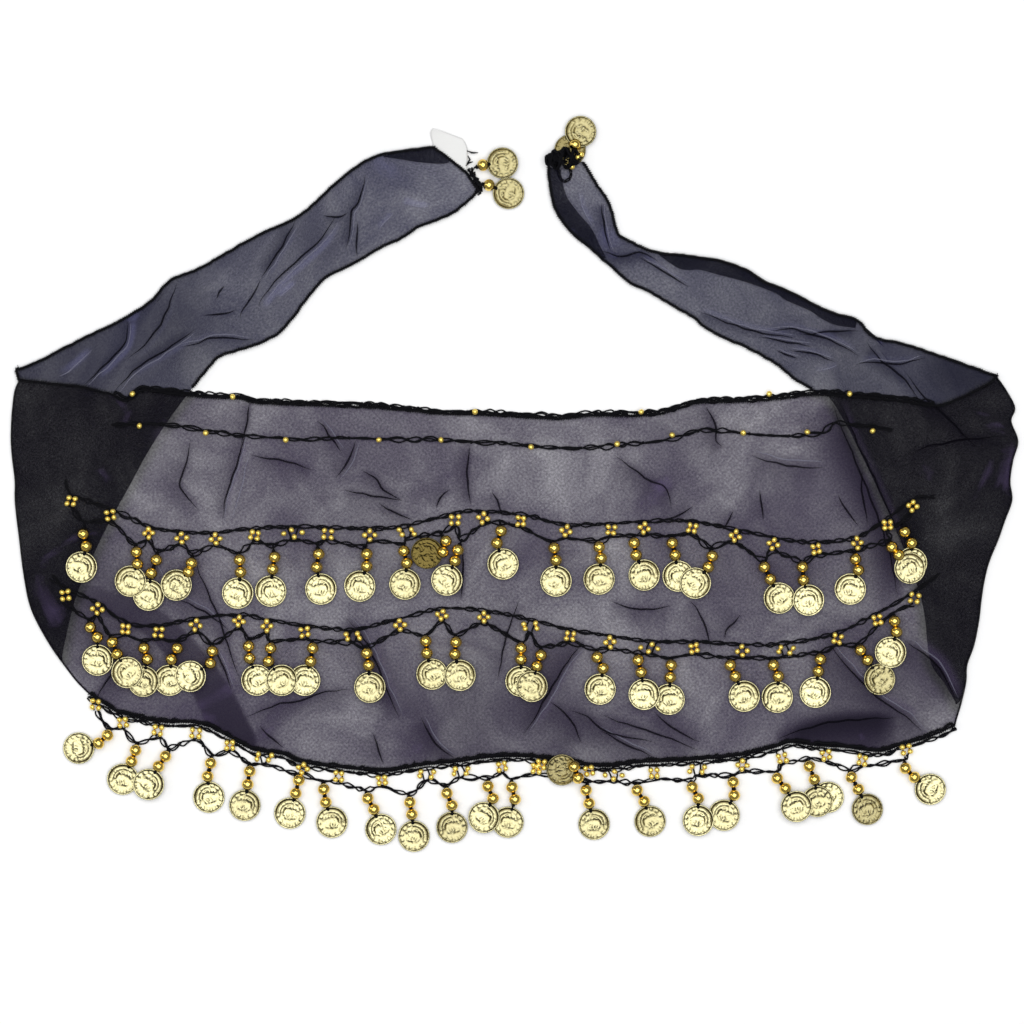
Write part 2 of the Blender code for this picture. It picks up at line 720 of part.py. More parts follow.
def make_row(rows, end, ground, upper):
    """Upper cord, lower cord that meets it at each bead cluster, and pendants from the lower."""
    upper = cord_path(upper, TRIM_RADIUS, ground, 0.016)
    flat_upper = [p.xy for p in upper]
    clusters = [at(row[0], row[1]) for row in rows] + [at(end[0], end[1])]
    tops = [point_along(upper, nearest(spot, flat_upper)[1]) for spot in clusters]
    lower = [tops[0].xy]
    for row, top in zip(rows, tops[1:]):
        lower += [at(row[2], row[3]), top.xy]
    body = bmesh.new()
    add_tube(body, upper, TRIM_RADIUS, 3)
    parts = bmesh.new()
    add_tube(parts, cord_path(lower, CORD_RADIUS, ground, 0.05), CORD_RADIUS, 3)
    for row, root in zip(rows, lower[1::2]):
        start = Vector((*root, ground(root, CORD_RADIUS * 2) + CORD_RADIUS * 1.2))
        add_pendant(parts, start, row[4:], ground)
    return body, parts


def make_knot(name, rows, pendants, ground, under_coin=None):
    """A gathered lump of crochet with the pendants that hang from it."""
    stations = []
    for across, down, radius, height in rows:
        stations.append((Vector((*at(across, down), height / 1000)), radius / 1000, 0, None))
    body = bmesh.new()
    add_loft(body, stations, 6)
    parts = bmesh.new()
    for first, bead_across, bead_down, coin_across, coin_down, layer in pendants:
        row = (bead_across, bead_down) * 2 + (coin_across, coin_down, layer)
        add_pendant(parts, stations[first][0], row, ground)
    if under_coin is not None:
        add_coin(parts, at(under_coin[0], under_coin[1]), at(under_coin[2], under_coin[3]), ground, 0)
    return union(name, body, parts, PALE_GOLD, 0.3, 1.0)


def centre_on_floor(objects):
    """Move every mesh so that together they stand on z = 0 with the origin under their middle."""
    spots = [v.co for made in objects for v in made.data.vertices]
    low = Vector([min(p[i] for p in spots) for i in range(3)])
    high = Vector([max(p[i] for p in spots) for i in range(3)])
    shift = Vector((-(low.x + high.x) / 2, -(low.y + high.y) / 2, -low.z))
    for made in objects:
        made.data.transform(Matrix.Translation(shift))


def main():
    for old in list(bpy.data.objects):
        bpy.data.objects.remove(old, do_unlink=True)

    folds = [fold_edge(0), fold_edge(1)]
    waist = places(WAIST_EDGE)
    hem = places(HEM_EDGE)
    panel_outline = waist[:-1] + folds[1][:-1] + hem[::-1][:-1] + folds[0][::-1][:-1]
    tie_outlines = [tie_outline(TIE_LEFT, 0), tie_outline(TIE_RIGHT, 1)]

    make_tie("tie_left", tie_outlines[0], TIE_LEFT_FOLDS)
    make_tie("tie_right", tie_outlines[1], TIE_RIGHT_FOLDS)
    make_flap("tie_left_flap", TIE_LEFT_FLAP, TIE_LEFT_FOLDS)
    make_flap("tie_right_lower_flap", TIE_RIGHT_LOWER_FLAP, TIE_RIGHT_FOLDS)
    make_flap("tie_right_upper_flap", TIE_RIGHT_UPPER_FLAP, TIE_RIGHT_FOLDS)
    panel = make_panel(panel_outline, tie_outlines, folds)

    label = cloth_bmesh(places(LABEL), [], lambda p: 0.0, lambda p: WALL)
    new_object("label", label, LABEL_WHITE, 0.7)

    ground = surface_of(panel)

    def beside_panel(point, spread=0.0):
        return lift_over(point, tie_outlines, 0.010) + FLOOR_CLEARANCE

    def floor(point, spread=0.0):
        return FLOOR_CLEARANCE

    crochet = [p for p in waist if at(WAIST_CHAIN_FROM, 0).x < p.x < at(WAIST_CHAIN_TO, 0).x]
    crochet = beside(crochet, GAP + TRIM_RADIUS * 1.3)
    make_cord("waist_cord", crochet, TRIM_RADIUS, beside_panel, 0.012)
    make_cord("panel_chain", smooth(places(CHAIN), 2), CORD_RADIUS, ground, 0.014)

    reach = Vector((0, CLUSTER_REACH * STEP))
    for name, rows, ends in (("coin_row_1", ROW_1, ROW_1_ENDS), ("coin_row_2", ROW_2, ROW_2_ENDS)):
        clusters = [at(row[0], row[1]) for row in rows] + [at(ends[4], ends[5])]
        tops = [spot + reach for spot in clusters]
        upper = smooth([at(ends[0], ends[1])] + tops + [at(ends[2], ends[3])], 2)
        body, parts = make_row(rows, ends[4:], ground, upper)
        union(name, body, parts, PALE_GOLD, 0.3, 1.0)

    hem_cord = beside(hem, -(GAP + TRIM_RADIUS * 1.3))
    body, parts = make_row(HEM_ROW, HEM_ROW_END, floor, hem_cord)
    cord_middle = FLOOR_CLEARANCE + CORD_RADIUS
    turned_from = Vector((*at(HEM_TURNED_UP[0], HEM_TURNED_UP[1]), cord_middle))
    add_pendant(parts, turned_from, HEM_TURNED_UP[2:], ground)
    bead = at(HEM_SECOND_COIN[0], HEM_SECOND_COIN[1])
    hole = add_coin(parts, bead, at(HEM_SECOND_COIN[2], HEM_SECOND_COIN[3]), floor, 0)
    add_tube(parts, [Vector((*bead, BEAD_RADIUS)), hole], STRAND_RADIUS, 3)
    union("coin_row_hem", body, parts, PALE_GOLD, 0.3, 1.0)

    make_knot("tie_left_knot", TIP_LEFT_KNOT, TIP_LEFT_PENDANTS, floor)
    make_knot("tie_right_knot", TIP_RIGHT_KNOT, TIP_RIGHT_PENDANTS, floor, TIP_RIGHT_UNDER_COIN)

    centre_on_floor(list(bpy.data.objects))


main()
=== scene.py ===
# %% [markdown]
# # A belly dance hip scarf, laid out flat
#
# The scarf is one long strip of sheer black chiffon. It is laid out with its middle, the panel, on
# top and its two tie ends folded back under it. Bands of black crochet are sewn on the panel and
# along its hem, and they carry small gold beads, larger gold beads and stamped gold coins.
#
# The frame holds the solids. Every piece here is made in the same place and takes over from them.

# %% Load the frame
import bpy
import bmesh
import numpy as np
from math import atan2, cos, pi, radians, sin
from mathutils import Matrix, Vector


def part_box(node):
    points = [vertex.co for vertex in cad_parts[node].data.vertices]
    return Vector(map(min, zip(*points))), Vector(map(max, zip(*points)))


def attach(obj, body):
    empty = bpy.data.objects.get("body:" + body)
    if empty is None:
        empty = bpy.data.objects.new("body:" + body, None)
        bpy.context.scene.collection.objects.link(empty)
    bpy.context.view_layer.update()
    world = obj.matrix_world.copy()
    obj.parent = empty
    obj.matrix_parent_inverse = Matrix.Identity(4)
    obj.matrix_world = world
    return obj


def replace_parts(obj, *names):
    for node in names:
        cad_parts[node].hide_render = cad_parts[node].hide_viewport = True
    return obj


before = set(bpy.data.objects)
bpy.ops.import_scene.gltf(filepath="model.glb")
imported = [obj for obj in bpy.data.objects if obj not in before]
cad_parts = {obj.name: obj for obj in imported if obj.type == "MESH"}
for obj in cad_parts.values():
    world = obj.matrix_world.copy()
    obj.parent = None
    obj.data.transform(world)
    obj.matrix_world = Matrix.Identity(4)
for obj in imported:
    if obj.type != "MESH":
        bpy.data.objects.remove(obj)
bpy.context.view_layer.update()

# %% [markdown]
# ## Places
#
# The places of the beads and coins are chart steps: across from the left and down from the top of
# a chart of the laid-out scarf. The panel's solid has the same edges, so its box gives the size of
# a step and where the chart lies. One function turns a list of chart places into metres.

# %% Chart steps to metres
PANEL_ACROSS = (11, 1018)      # the panel's leftmost and rightmost places on the chart
PANEL_DOWN = (376, 772)        # its highest and lowest places
panel_low, panel_high = (np.array(corner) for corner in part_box("panel"))
STEP = (panel_high[0] - panel_low[0]) / (PANEL_ACROSS[1] - PANEL_ACROSS[0])
CHART_ORIGIN = np.array((panel_low[0] - PANEL_ACROSS[0] * STEP,
                         panel_high[1] + PANEL_DOWN[0] * STEP))


def on_chart(spots):
    """Metres for an array of chart places."""
    spots = np.asarray(spots, dtype=float)
    return CHART_ORIGIN + spots * STEP * (1, -1)


print(f"a chart step is {STEP * 1000:.3f} mm, the panel is {(panel_high - panel_low) * 1000} mm")

# %% [markdown]
# ## Camera and light
#
# The scarf is seen from straight above through a long lens, which keeps its edges parallel. The
# frame shows 1024 chart steps. A wide soft box overhead, a small dim one at the left and a pale
# world light it evenly, as a lit white room does.

# %% Camera, floor and lights
FRAME_STEPS = 1024
CAMERA_HEIGHT = 3.0
SENSOR = 36.0

camera_data = bpy.data.cameras.new("camera")
camera_data.sensor_width = SENSOR
camera_data.lens = SENSOR * CAMERA_HEIGHT / (FRAME_STEPS * STEP)
camera = bpy.data.objects.new("camera", camera_data)
camera.location = (*on_chart((FRAME_STEPS / 2, FRAME_STEPS / 2)), CAMERA_HEIGHT)
bpy.context.scene.collection.objects.link(camera)
bpy.context.scene.camera = camera


def soft_box(name, place, size, power):
    """Area light that faces the scarf."""
    data = bpy.data.lights.new(name, "AREA")
    data.shape = "RECTANGLE"
    data.size, data.size_y = size
    data.energy = power
    lamp = bpy.data.objects.new(name, data)
    lamp.location = place
    lamp.rotation_euler = (-Vector(place)).to_track_quat("-Z", "Y").to_euler()
    bpy.context.scene.collection.objects.link(lamp)


soft_box("overhead", (0.1, 0.15, 3.3), (4.0, 4.0), 131)
soft_box("left side", (-2.4, 0.6, 1.4), (0.8, 1.6), 8)
print(f"lens {camera_data.lens:.1f} mm")

# %% [markdown]
# ## Materials
#
# Each material starts from what the real one is. Colours are written as sRGB hex values, and one
# function turns them to the linear values that the shader works with. The others add nodes, so
# that a material reads as a short list of what it is made from.

# %% Colour and node helpers
def linear(hex_colour):
    """Linear RGBA of an sRGB hex colour."""
    values = [int(hex_colour[i:i + 2], 16) / 255 for i in (0, 2, 4)]
    return tuple(v / 12.92 if v <= 0.04045 else ((v + 0.055) / 1.055) ** 2.4 for v in values) + (1.0,)


def add(tree, kind, settings, links=()):
    """Adds a node. Settings are its properties or inputs, links are pairs of input and socket."""
    node = tree.nodes.new(kind)
    for key, value in settings.items():
        if isinstance(key, str) and hasattr(node, key):
            setattr(node, key, value)
        else:
            node.inputs[key].default_value = value
    for key, socket in links:
        tree.links.new(socket, node.inputs[key])
    return node


def maths(tree, operation, *values):
    """Result of a maths node on values, each a number or a socket."""
    numbers = {key: value for key, value in enumerate(values) if isinstance(value, (int, float))}
    sockets = [(key, value) for key, value in enumerate(values) if key not in numbers]
    return add(tree, "ShaderNodeMath", {"operation": operation, **numbers}, sockets).outputs[0]


def ranged(tree, value, low, high, to_low, to_high):
    """Result of a node that turns the range from low to high into another range."""
    limits = {"From Min": low, "From Max": high, "To Min": to_low, "To Max": to_high}
    return add(tree, "ShaderNodeMapRange", limits, [("Value", value)]).outputs[0]


def noise(tree, place, **settings):
    return add(tree, "ShaderNodeTexNoise", settings, [("Vector", place)]).outputs["Fac"]


def attribute(tree, name, output="Fac"):
    return add(tree, "ShaderNodeAttribute", {"attribute_name": name}).outputs[output]


def mixed(tree, share, first, second):
    """Mix of two colours, each a hex value or a socket."""
    colours = ((6, first), (7, second))
    plain = {key: linear(colour) for key, colour in colours if isinstance(colour, str)}
    sockets = [(key, colour) for key, colour in colours if key not in plain]
    return add(tree, "ShaderNodeMix", {"data_type": "RGBA", **plain}, [(0, share)] + sockets).outputs[2]


def new_material(name):
    """Material with its node tree, its Principled shader and the place on the object."""
    material = bpy.data.materials.new(name)
    material.use_nodes = True
    tree = material.node_tree
    place = add(tree, "ShaderNodeTexCoord", {}).outputs["Object"]
    return material, tree, tree.nodes["Principled BSDF"], place


def coated(tree, shader, colour, inputs, bump=None):
    """Gives the shader its colour, its inputs, and a bump from a height, strength and distance."""
    if isinstance(colour, str):
        shader.inputs["Base Color"].default_value = linear(colour)
    else:
        tree.links.new(colour, shader.inputs["Base Color"])
    for key, value in inputs.items():
        shader.inputs[key].default_value = value
    if bump:
        height, strength, distance = bump
        raised = add(tree, "ShaderNodeBump", {"Strength": strength, "Distance": distance},
                     [("Height", height)])
        tree.links.new(raised.outputs[0], shader.inputs["Normal"])


# %% [markdown]
# ### Sheer chiffon
#
# Chiffon is a plain weave of fine twisted polyester threads with gaps between them, so a single
# layer is see-through and two layers look almost black. The shader is a dull black cloth that is
# partly transparent. The real threads are 0.3 mm apart, which is too fine to show here, so they
# are drawn 1.6 mm apart. Each point of the cloth carries its place along the threads in the
# attribute "thread". Another attribute makes the cloth more opaque where a crease doubles it, and
# also as painted shade beside the creases. "pale" is painted sheen and highlight: how much of a
# violet shine is painted into the colour there. A coarse noise stands for cloth that is a little
# bunched or stretched, and its highest places get painted highlights as well.

# %% Chiffon
THREAD_PITCH = 0.0016
WEAVE_SHOWN = 0.018        # how much the opacity varies between threads and gaps
SLUB_SHOWN = 0.075         # from one bit of thread to the next
CRUMPLE_SHOWN = 0.12       # where the cloth is bunched or stretched
CLOSED_CLOTH = 0.86        # opacity of one face where a crease doubles the cloth


def chiffon(name, dark, light, opacity):
    """Sheer cloth. The opacity is that of one face of its wall, where it lies flat. The light colour is that
    of the painted sheen and highlights.
    """
    material, tree, shader, _ = new_material(name)
    thread = attribute(tree, "thread", "Vector")
    counted = add(tree, "ShaderNodeVectorMath", {"operation": "SCALE", "Scale": pi / THREAD_PITCH},
                  [(0, thread)])
    split = add(tree, "ShaderNodeSeparateXYZ", {}, [(0, counted.outputs[0])])
    over, under = (maths(tree, "SINE", split.outputs[axis]) for axis in ("X", "Y"))
    weave = maths(tree, "MULTIPLY", maths(tree, "MULTIPLY", over, under), WEAVE_SHOWN)
    slubs = ranged(tree, noise(tree, thread, Scale=700.0, Detail=2.0), 0.3, 0.7, -SLUB_SHOWN, SLUB_SHOWN)
    crumple = noise(tree, thread, Scale=17.0, Detail=6.0, Roughness=0.58, Distortion=0.7)
    crumpled = ranged(tree, crumple, 0.32, 0.68, -CRUMPLE_SHOWN, CRUMPLE_SHOWN)
    uneven = maths(tree, "ADD", maths(tree, "ADD", weave, slubs), crumpled)
    varied = maths(tree, "ADD", uneven, opacity)
    # More opaque where the cloth is doubled, and also as painted shade beside the creases.
    closed = add(tree, "ShaderNodeMix", {"data_type": "FLOAT", 3: CLOSED_CLOTH},
                 [(0, attribute(tree, "dense_and_shade")), (2, varied)])
    tree.links.new(closed.outputs[0], shader.inputs["Alpha"])
    # Painted highlights and sheen: the light colour is mixed in on the highest places of the crumple noise
    # and where the "pale" attribute is high.
    lit = ranged(tree, crumple, 0.60, 0.74, 0.0, 0.35)
    painted_sheen = maths(tree, "MAXIMUM", lit, attribute(tree, "pale"))
    coated(tree, shader, mixed(tree, painted_sheen, dark, light), {"Roughness": 0.6, "Specular IOR Level": 0.06},
           (crumple, 0.4, 0.0012))
    return material


def pinched_chiffon(name, colour, opacity):
    """Thin chiffon material for sharp creases: the dark pinched fold, and the pale strip of painted
    highlight beside it.
    """
    material, tree, shader, _ = new_material(name)
    coated(tree, shader, colour, {"Alpha": opacity, "Roughness": 0.7, "Specular IOR Level": 0.05})
    return material


# The second colour of each chiffon is the colour of its painted sheen and highlights.
panel_chiffon = chiffon("black polyester chiffon", "0A0714", "7E6C9C", 0.412)
tie_chiffon = chiffon("black polyester chiffon of the ties", "08081A", "7878AA", 0.396)
dark_crease = pinched_chiffon("black chiffon, pinched", "08070E", 0.62)
# Painted highlight: a pale, partly see-through material for the strips beside the creases.
painted_crease_highlight = pinched_chiffon("black chiffon, fold in the light", "9C9CB0", 0.22)
print("chiffon threads drawn", THREAD_PITCH * 1000, "mm apart")

# %% [markdown]
# ### Crochet thread, gold and satin
#
# The crochet is a soft black acrylic thread, rough and almost without shine. The coins are thin
# stamped iron with a pale gold plate, which dulls along the foot of the relief, and which has painted
# shade on one side of the relief. The large beads are hollow metal with a richer polished gold, and
# the small ones are glass with a gold lining. The care label is white satin ribbon.

# %% Thread, gold and satin
def crochet_thread():
    material, tree, shader, place = new_material("black acrylic crochet thread")
    fibres = noise(tree, place, Scale=900.0, Detail=2.0)
    coated(tree, shader, mixed(tree, fibres, "020204", "0C0C12"),
           {"Roughness": 0.75, "Specular IOR Level": 0.12}, (fibres, 0.6, 0.0003))
    return material


def coin_plate():
    """Pale gold plate, brown where it holds tarnish and where shade is painted beside the relief, and darker
    all over where "tone" is.
    """
    material, tree, shader, place = new_material("pale gold plate, stamped")
    worn = noise(tree, place, Scale=330.0, Detail=3.0)
    # The brown colour is tarnish in the hollows and painted shade beside the relief.
    tarnished_and_shaded = mixed(tree, attribute(tree, "tarnish_and_shade"), mixed(tree, worn, "B4AC7C", "DAD4AA"), "241C08")
    toned = mixed(tree, attribute(tree, "tone"), tarnished_and_shaded, "574C28")
    coated(tree, shader, toned, {"Metallic": 1.0, "Roughness": 0.2}, (worn, 0.8, 0.0009))
    return material


def polished_gold():
    material, tree, shader, place = new_material("polished gold plate")
    haze = noise(tree, place, Scale=500.0, Detail=2.0)
    coated(tree, shader, mixed(tree, haze, "E2B63C", "FBE48A"), {"Metallic": 1.0, "Roughness": 0.1})
    return material


def gold_glass():
    material, tree, shader, _ = new_material("gold-lined glass beads")
    coated(tree, shader, "FFE070", {"Metallic": 0.7, "Roughness": 0.12})
    return material


def label_satin():
    material, tree, shader, place = new_material("white satin ribbon")
    ribs = add(tree, "ShaderNodeTexWave", {"Scale": 900.0, "Distortion": 0.4, "bands_direction": "Y"},
               [("Vector", place)]).outputs["Fac"]
    coated(tree, shader, mixed(tree, ribs, "D6D6D4", "EAEAE8"), {"Roughness": 0.4}, (ribs, 0.2, 0.0002))
    return material


thread_black = crochet_thread()
coin_gold = coin_plate()
bead_gold = polished_gold()
glass_gold = gold_glass()
satin = label_satin()

# %% [markdown]
# ### Floor and world
#
# White paper lies under the scarf, as in the photo. It could be left out, but then the sheer cloth
# would have nothing pale behind it, and its tone would be wrong. It is staged, so it isn't part of
# the scarf. The world is a plain pale grey that lights the shadows.

# %% Floor and world
FLOOR_HALF, FLOOR_LEVEL = 3.0, -0.0002
paper, paper_tree, paper_shader, _ = new_material("white paper")
coated(paper_tree, paper_shader, "F8F8F8", {"Roughness": 0.9})
corners = [(x * FLOOR_HALF, y * FLOOR_HALF, FLOOR_LEVEL) for x, y in ((-1, -1), (1, -1), (1, 1), (-1, 1))]
floor_mesh = bpy.data.meshes.new("floor")
floor_mesh.from_pydata(corners, [], [(0, 1, 2, 3)])
floor_mesh.materials.append(paper)
floor = bpy.data.objects.new("floor", floor_mesh)
bpy.context.scene.collection.objects.link(floor)

world = bpy.data.worlds.new("studio")
world.use_nodes = True
world.node_tree.nodes["Background"].inputs["Color"].default_value = linear("F2F3F6")
world.node_tree.nodes["Background"].inputs["Strength"].default_value = 0.27
bpy.context.scene.world = world
bpy.context.scene.view_settings.view_transform = "Standard"

# %% [markdown]
# ## Edges of the cloth
#
# The tables give the edges in chart steps, as the solids have them. A smooth curve runs through
# each row of places, and it can be read at any part of its length.

# %% Edge tables
WAIST_EDGE = (
    (20, 379), (60, 384), (81, 386), (100, 391), (114, 394), (128, 400), (141, 390), (165, 392),
    (199, 396), (240, 398), (255, 402), (300, 404), (360, 406), (400, 409), (440, 413),
    (480, 414), (520, 416), (560, 418), (590, 415), (635, 415), (660, 413), (680, 407),
    (700, 402), (740, 401), (770, 399), (815, 394), (850, 396), (900, 400), (935, 405),
    (960, 397), (985, 385), (996, 376),
)
HEM_EDGE = (
    (90, 695), (105, 705), (118, 713), (145, 720), (165, 723), (200, 724), (230, 738),
    (255, 751), (283, 755), (300, 763), (340, 768), (385, 772), (420, 766), (460, 762),
    (500, 757), (545, 759), (600, 767), (640, 763), (665, 762), (700, 760), (740, 756),
    (775, 748), (790, 743), (815, 746), (845, 748), (880, 752), (900, 745), (915, 742),
    (940, 733), (955, 726),
)
LEFT_FOLD = (
    (20, 379), (15, 390), (12.5, 408), (11.5, 421), (11, 441), (12.5, 460), (15, 481), (15, 500),
    (17, 520), (19.5, 540), (22, 562), (25, 582), (29, 602), (36, 620), (50, 645), (64, 665),
    (77, 682), (90, 695),
)
RIGHT_FOLD = (
    (996, 376), (1006, 390), (1015, 408), (1011, 421), (1018, 441), (1013, 460), (1010, 481),
    (1012, 500), (1005, 520), (998, 540), (989, 562), (984, 582), (981, 602), (979, 620),
    (974, 645), (967, 665), (966, 682), (961, 704), (957, 718), (955, 726),
)
TIE_LEFT_UPPER = (
    (16, 370), (41, 360), (60, 350), (80, 340), (100, 330), (130, 315), (152, 300), (171, 280),
    (200, 268), (228, 252), (260, 234), (300, 215), (338, 181), (371, 158), (402, 151), (433, 147),
)
TIE_LEFT_LOWER = (
    (61, 661), (75, 600), (98, 545), (117, 508), (130, 485), (145, 457), (165, 425), (190, 391),
    (200, 378), (210, 366), (218, 357), (232, 352), (252, 346), (270, 338.5), (280, 332),
    (295, 315), (304, 302), (325, 278), (345, 268), (360, 260), (380, 248), (402, 238),
    (420, 226), (440, 219), (457, 210), (470, 199), (478, 190),
)
TIE_RIGHT_UPPER = (
    (996, 376), (968, 366), (930, 353), (900, 343), (873, 337), (857, 320), (838, 315), (820, 308),
    (795, 295), (775, 286), (762, 281), (748, 271), (720, 261), (700, 258), (680, 255), (665, 254),
    (645, 249), (627, 240), (618, 235), (612, 213), (606, 198), (600, 190), (590, 174), (583, 162),
)
TIE_RIGHT_LOWER = (
    (957, 705), (945, 684), (930, 660), (922, 602), (898, 534), (884, 502), (865, 462), (846, 424),
    (828, 396), (815, 391), (795, 379),
    (785, 371), (775, 363), (746, 347), (724, 338), (703, 326), (694, 318), (672, 305), (648, 291),
    (630, 283), (613, 268), (598, 255), (590, 248), (573, 234), (560, 218), (555, 208), (551, 193),
    (548, 165),
)


def smooth_curve(points, per_span=6):
    """Points of a smooth curve through the given ones."""
    p = np.asarray(points, dtype=float)
    ends = np.vstack((p[0], p, p[-1]))
    t = np.linspace(0, 1, per_span, endpoint=False)[:, None]
    pieces = []
    for a, b, c, d in zip(ends, ends[1:], ends[2:], ends[3:]):
        pieces.append(b + 0.5 * t * (c - a) + t ** 2 * (a - 2.5 * b + 2 * c - 0.5 * d)
                      + 0.5 * t ** 3 * (3 * (b - c) + d - a))
    return np.vstack(pieces + [p[-1:]])


def at_shares(curve, shares):
    """Points at these shares of a curve's length."""
    lengths = np.concatenate(([0], np.cumsum(np.linalg.norm(np.diff(curve, axis=0), axis=1))))
    where = np.asarray(shares) * lengths[-1]
    return np.stack([np.interp(where, lengths, curve[:, k]) for k in range(curve.shape[1])], axis=-1)


def evenly(curve, spacing):
    """Points a spacing apart along a curve."""
    length = np.linalg.norm(np.diff(curve, axis=0), axis=1).sum()
    return at_shares(curve, np.linspace(0, 1, max(2, round(length / spacing) + 1)))


waist, hem, left_fold, right_fold = (smooth_curve(on_chart(edge))
                                     for edge in (WAIST_EDGE, HEM_EDGE, LEFT_FOLD, RIGHT_FOLD))
panel_outline = np.vstack((waist[:-1], right_fold[:-1], hem[::-1][:-1], left_fold[::-1][:-1]))

# %% [markdown]
# A tie is the same strip of cloth, turned under at the fold. It lies under the panel as far as the
# fold and just inside it, so that the panel's rounded edge covers it. Its outline is closed from its
# upper edge, its lower edge and its start along the fold.

# %% Tie outlines
FOLD_INSET = 0.0008


def sideways(curve, distance):
    """The curve moved to its left by a distance."""
    ahead = np.gradient(curve, axis=0)
    ahead /= np.linalg.norm(ahead, axis=1)[:, None]
    return curve + distance * np.stack((-ahead[:, 1], ahead[:, 0]), axis=1)


def tie_edges(upper, lower, fold, inset, clear=0.002):
    """Upper and lower edge of a tie from the fold to the tip, and its start along the fold."""
    upper, lower = smooth_curve(on_chart(upper)), smooth_curve(on_chart(lower))
    within = sideways(fold, inset)
    within = within[(within[:, 1] < fold[0, 1] - clear) & (within[:, 1] > lower[0, 1] + clear)]
    lower[0, 0] += inset
    return upper, lower, np.vstack((upper[:1], within, lower[:1]))


left_tie = tie_edges(TIE_LEFT_UPPER, TIE_LEFT_LOWER, left_fold, FOLD_INSET)
right_tie = tie_edges(TIE_RIGHT_UPPER, TIE_RIGHT_LOWER, right_fold, -FOLD_INSET)
tie_outlines = [np.vstack((upper, lower[::-1], start[::-1]))
                for upper, lower, start in (left_tie, right_tie)]
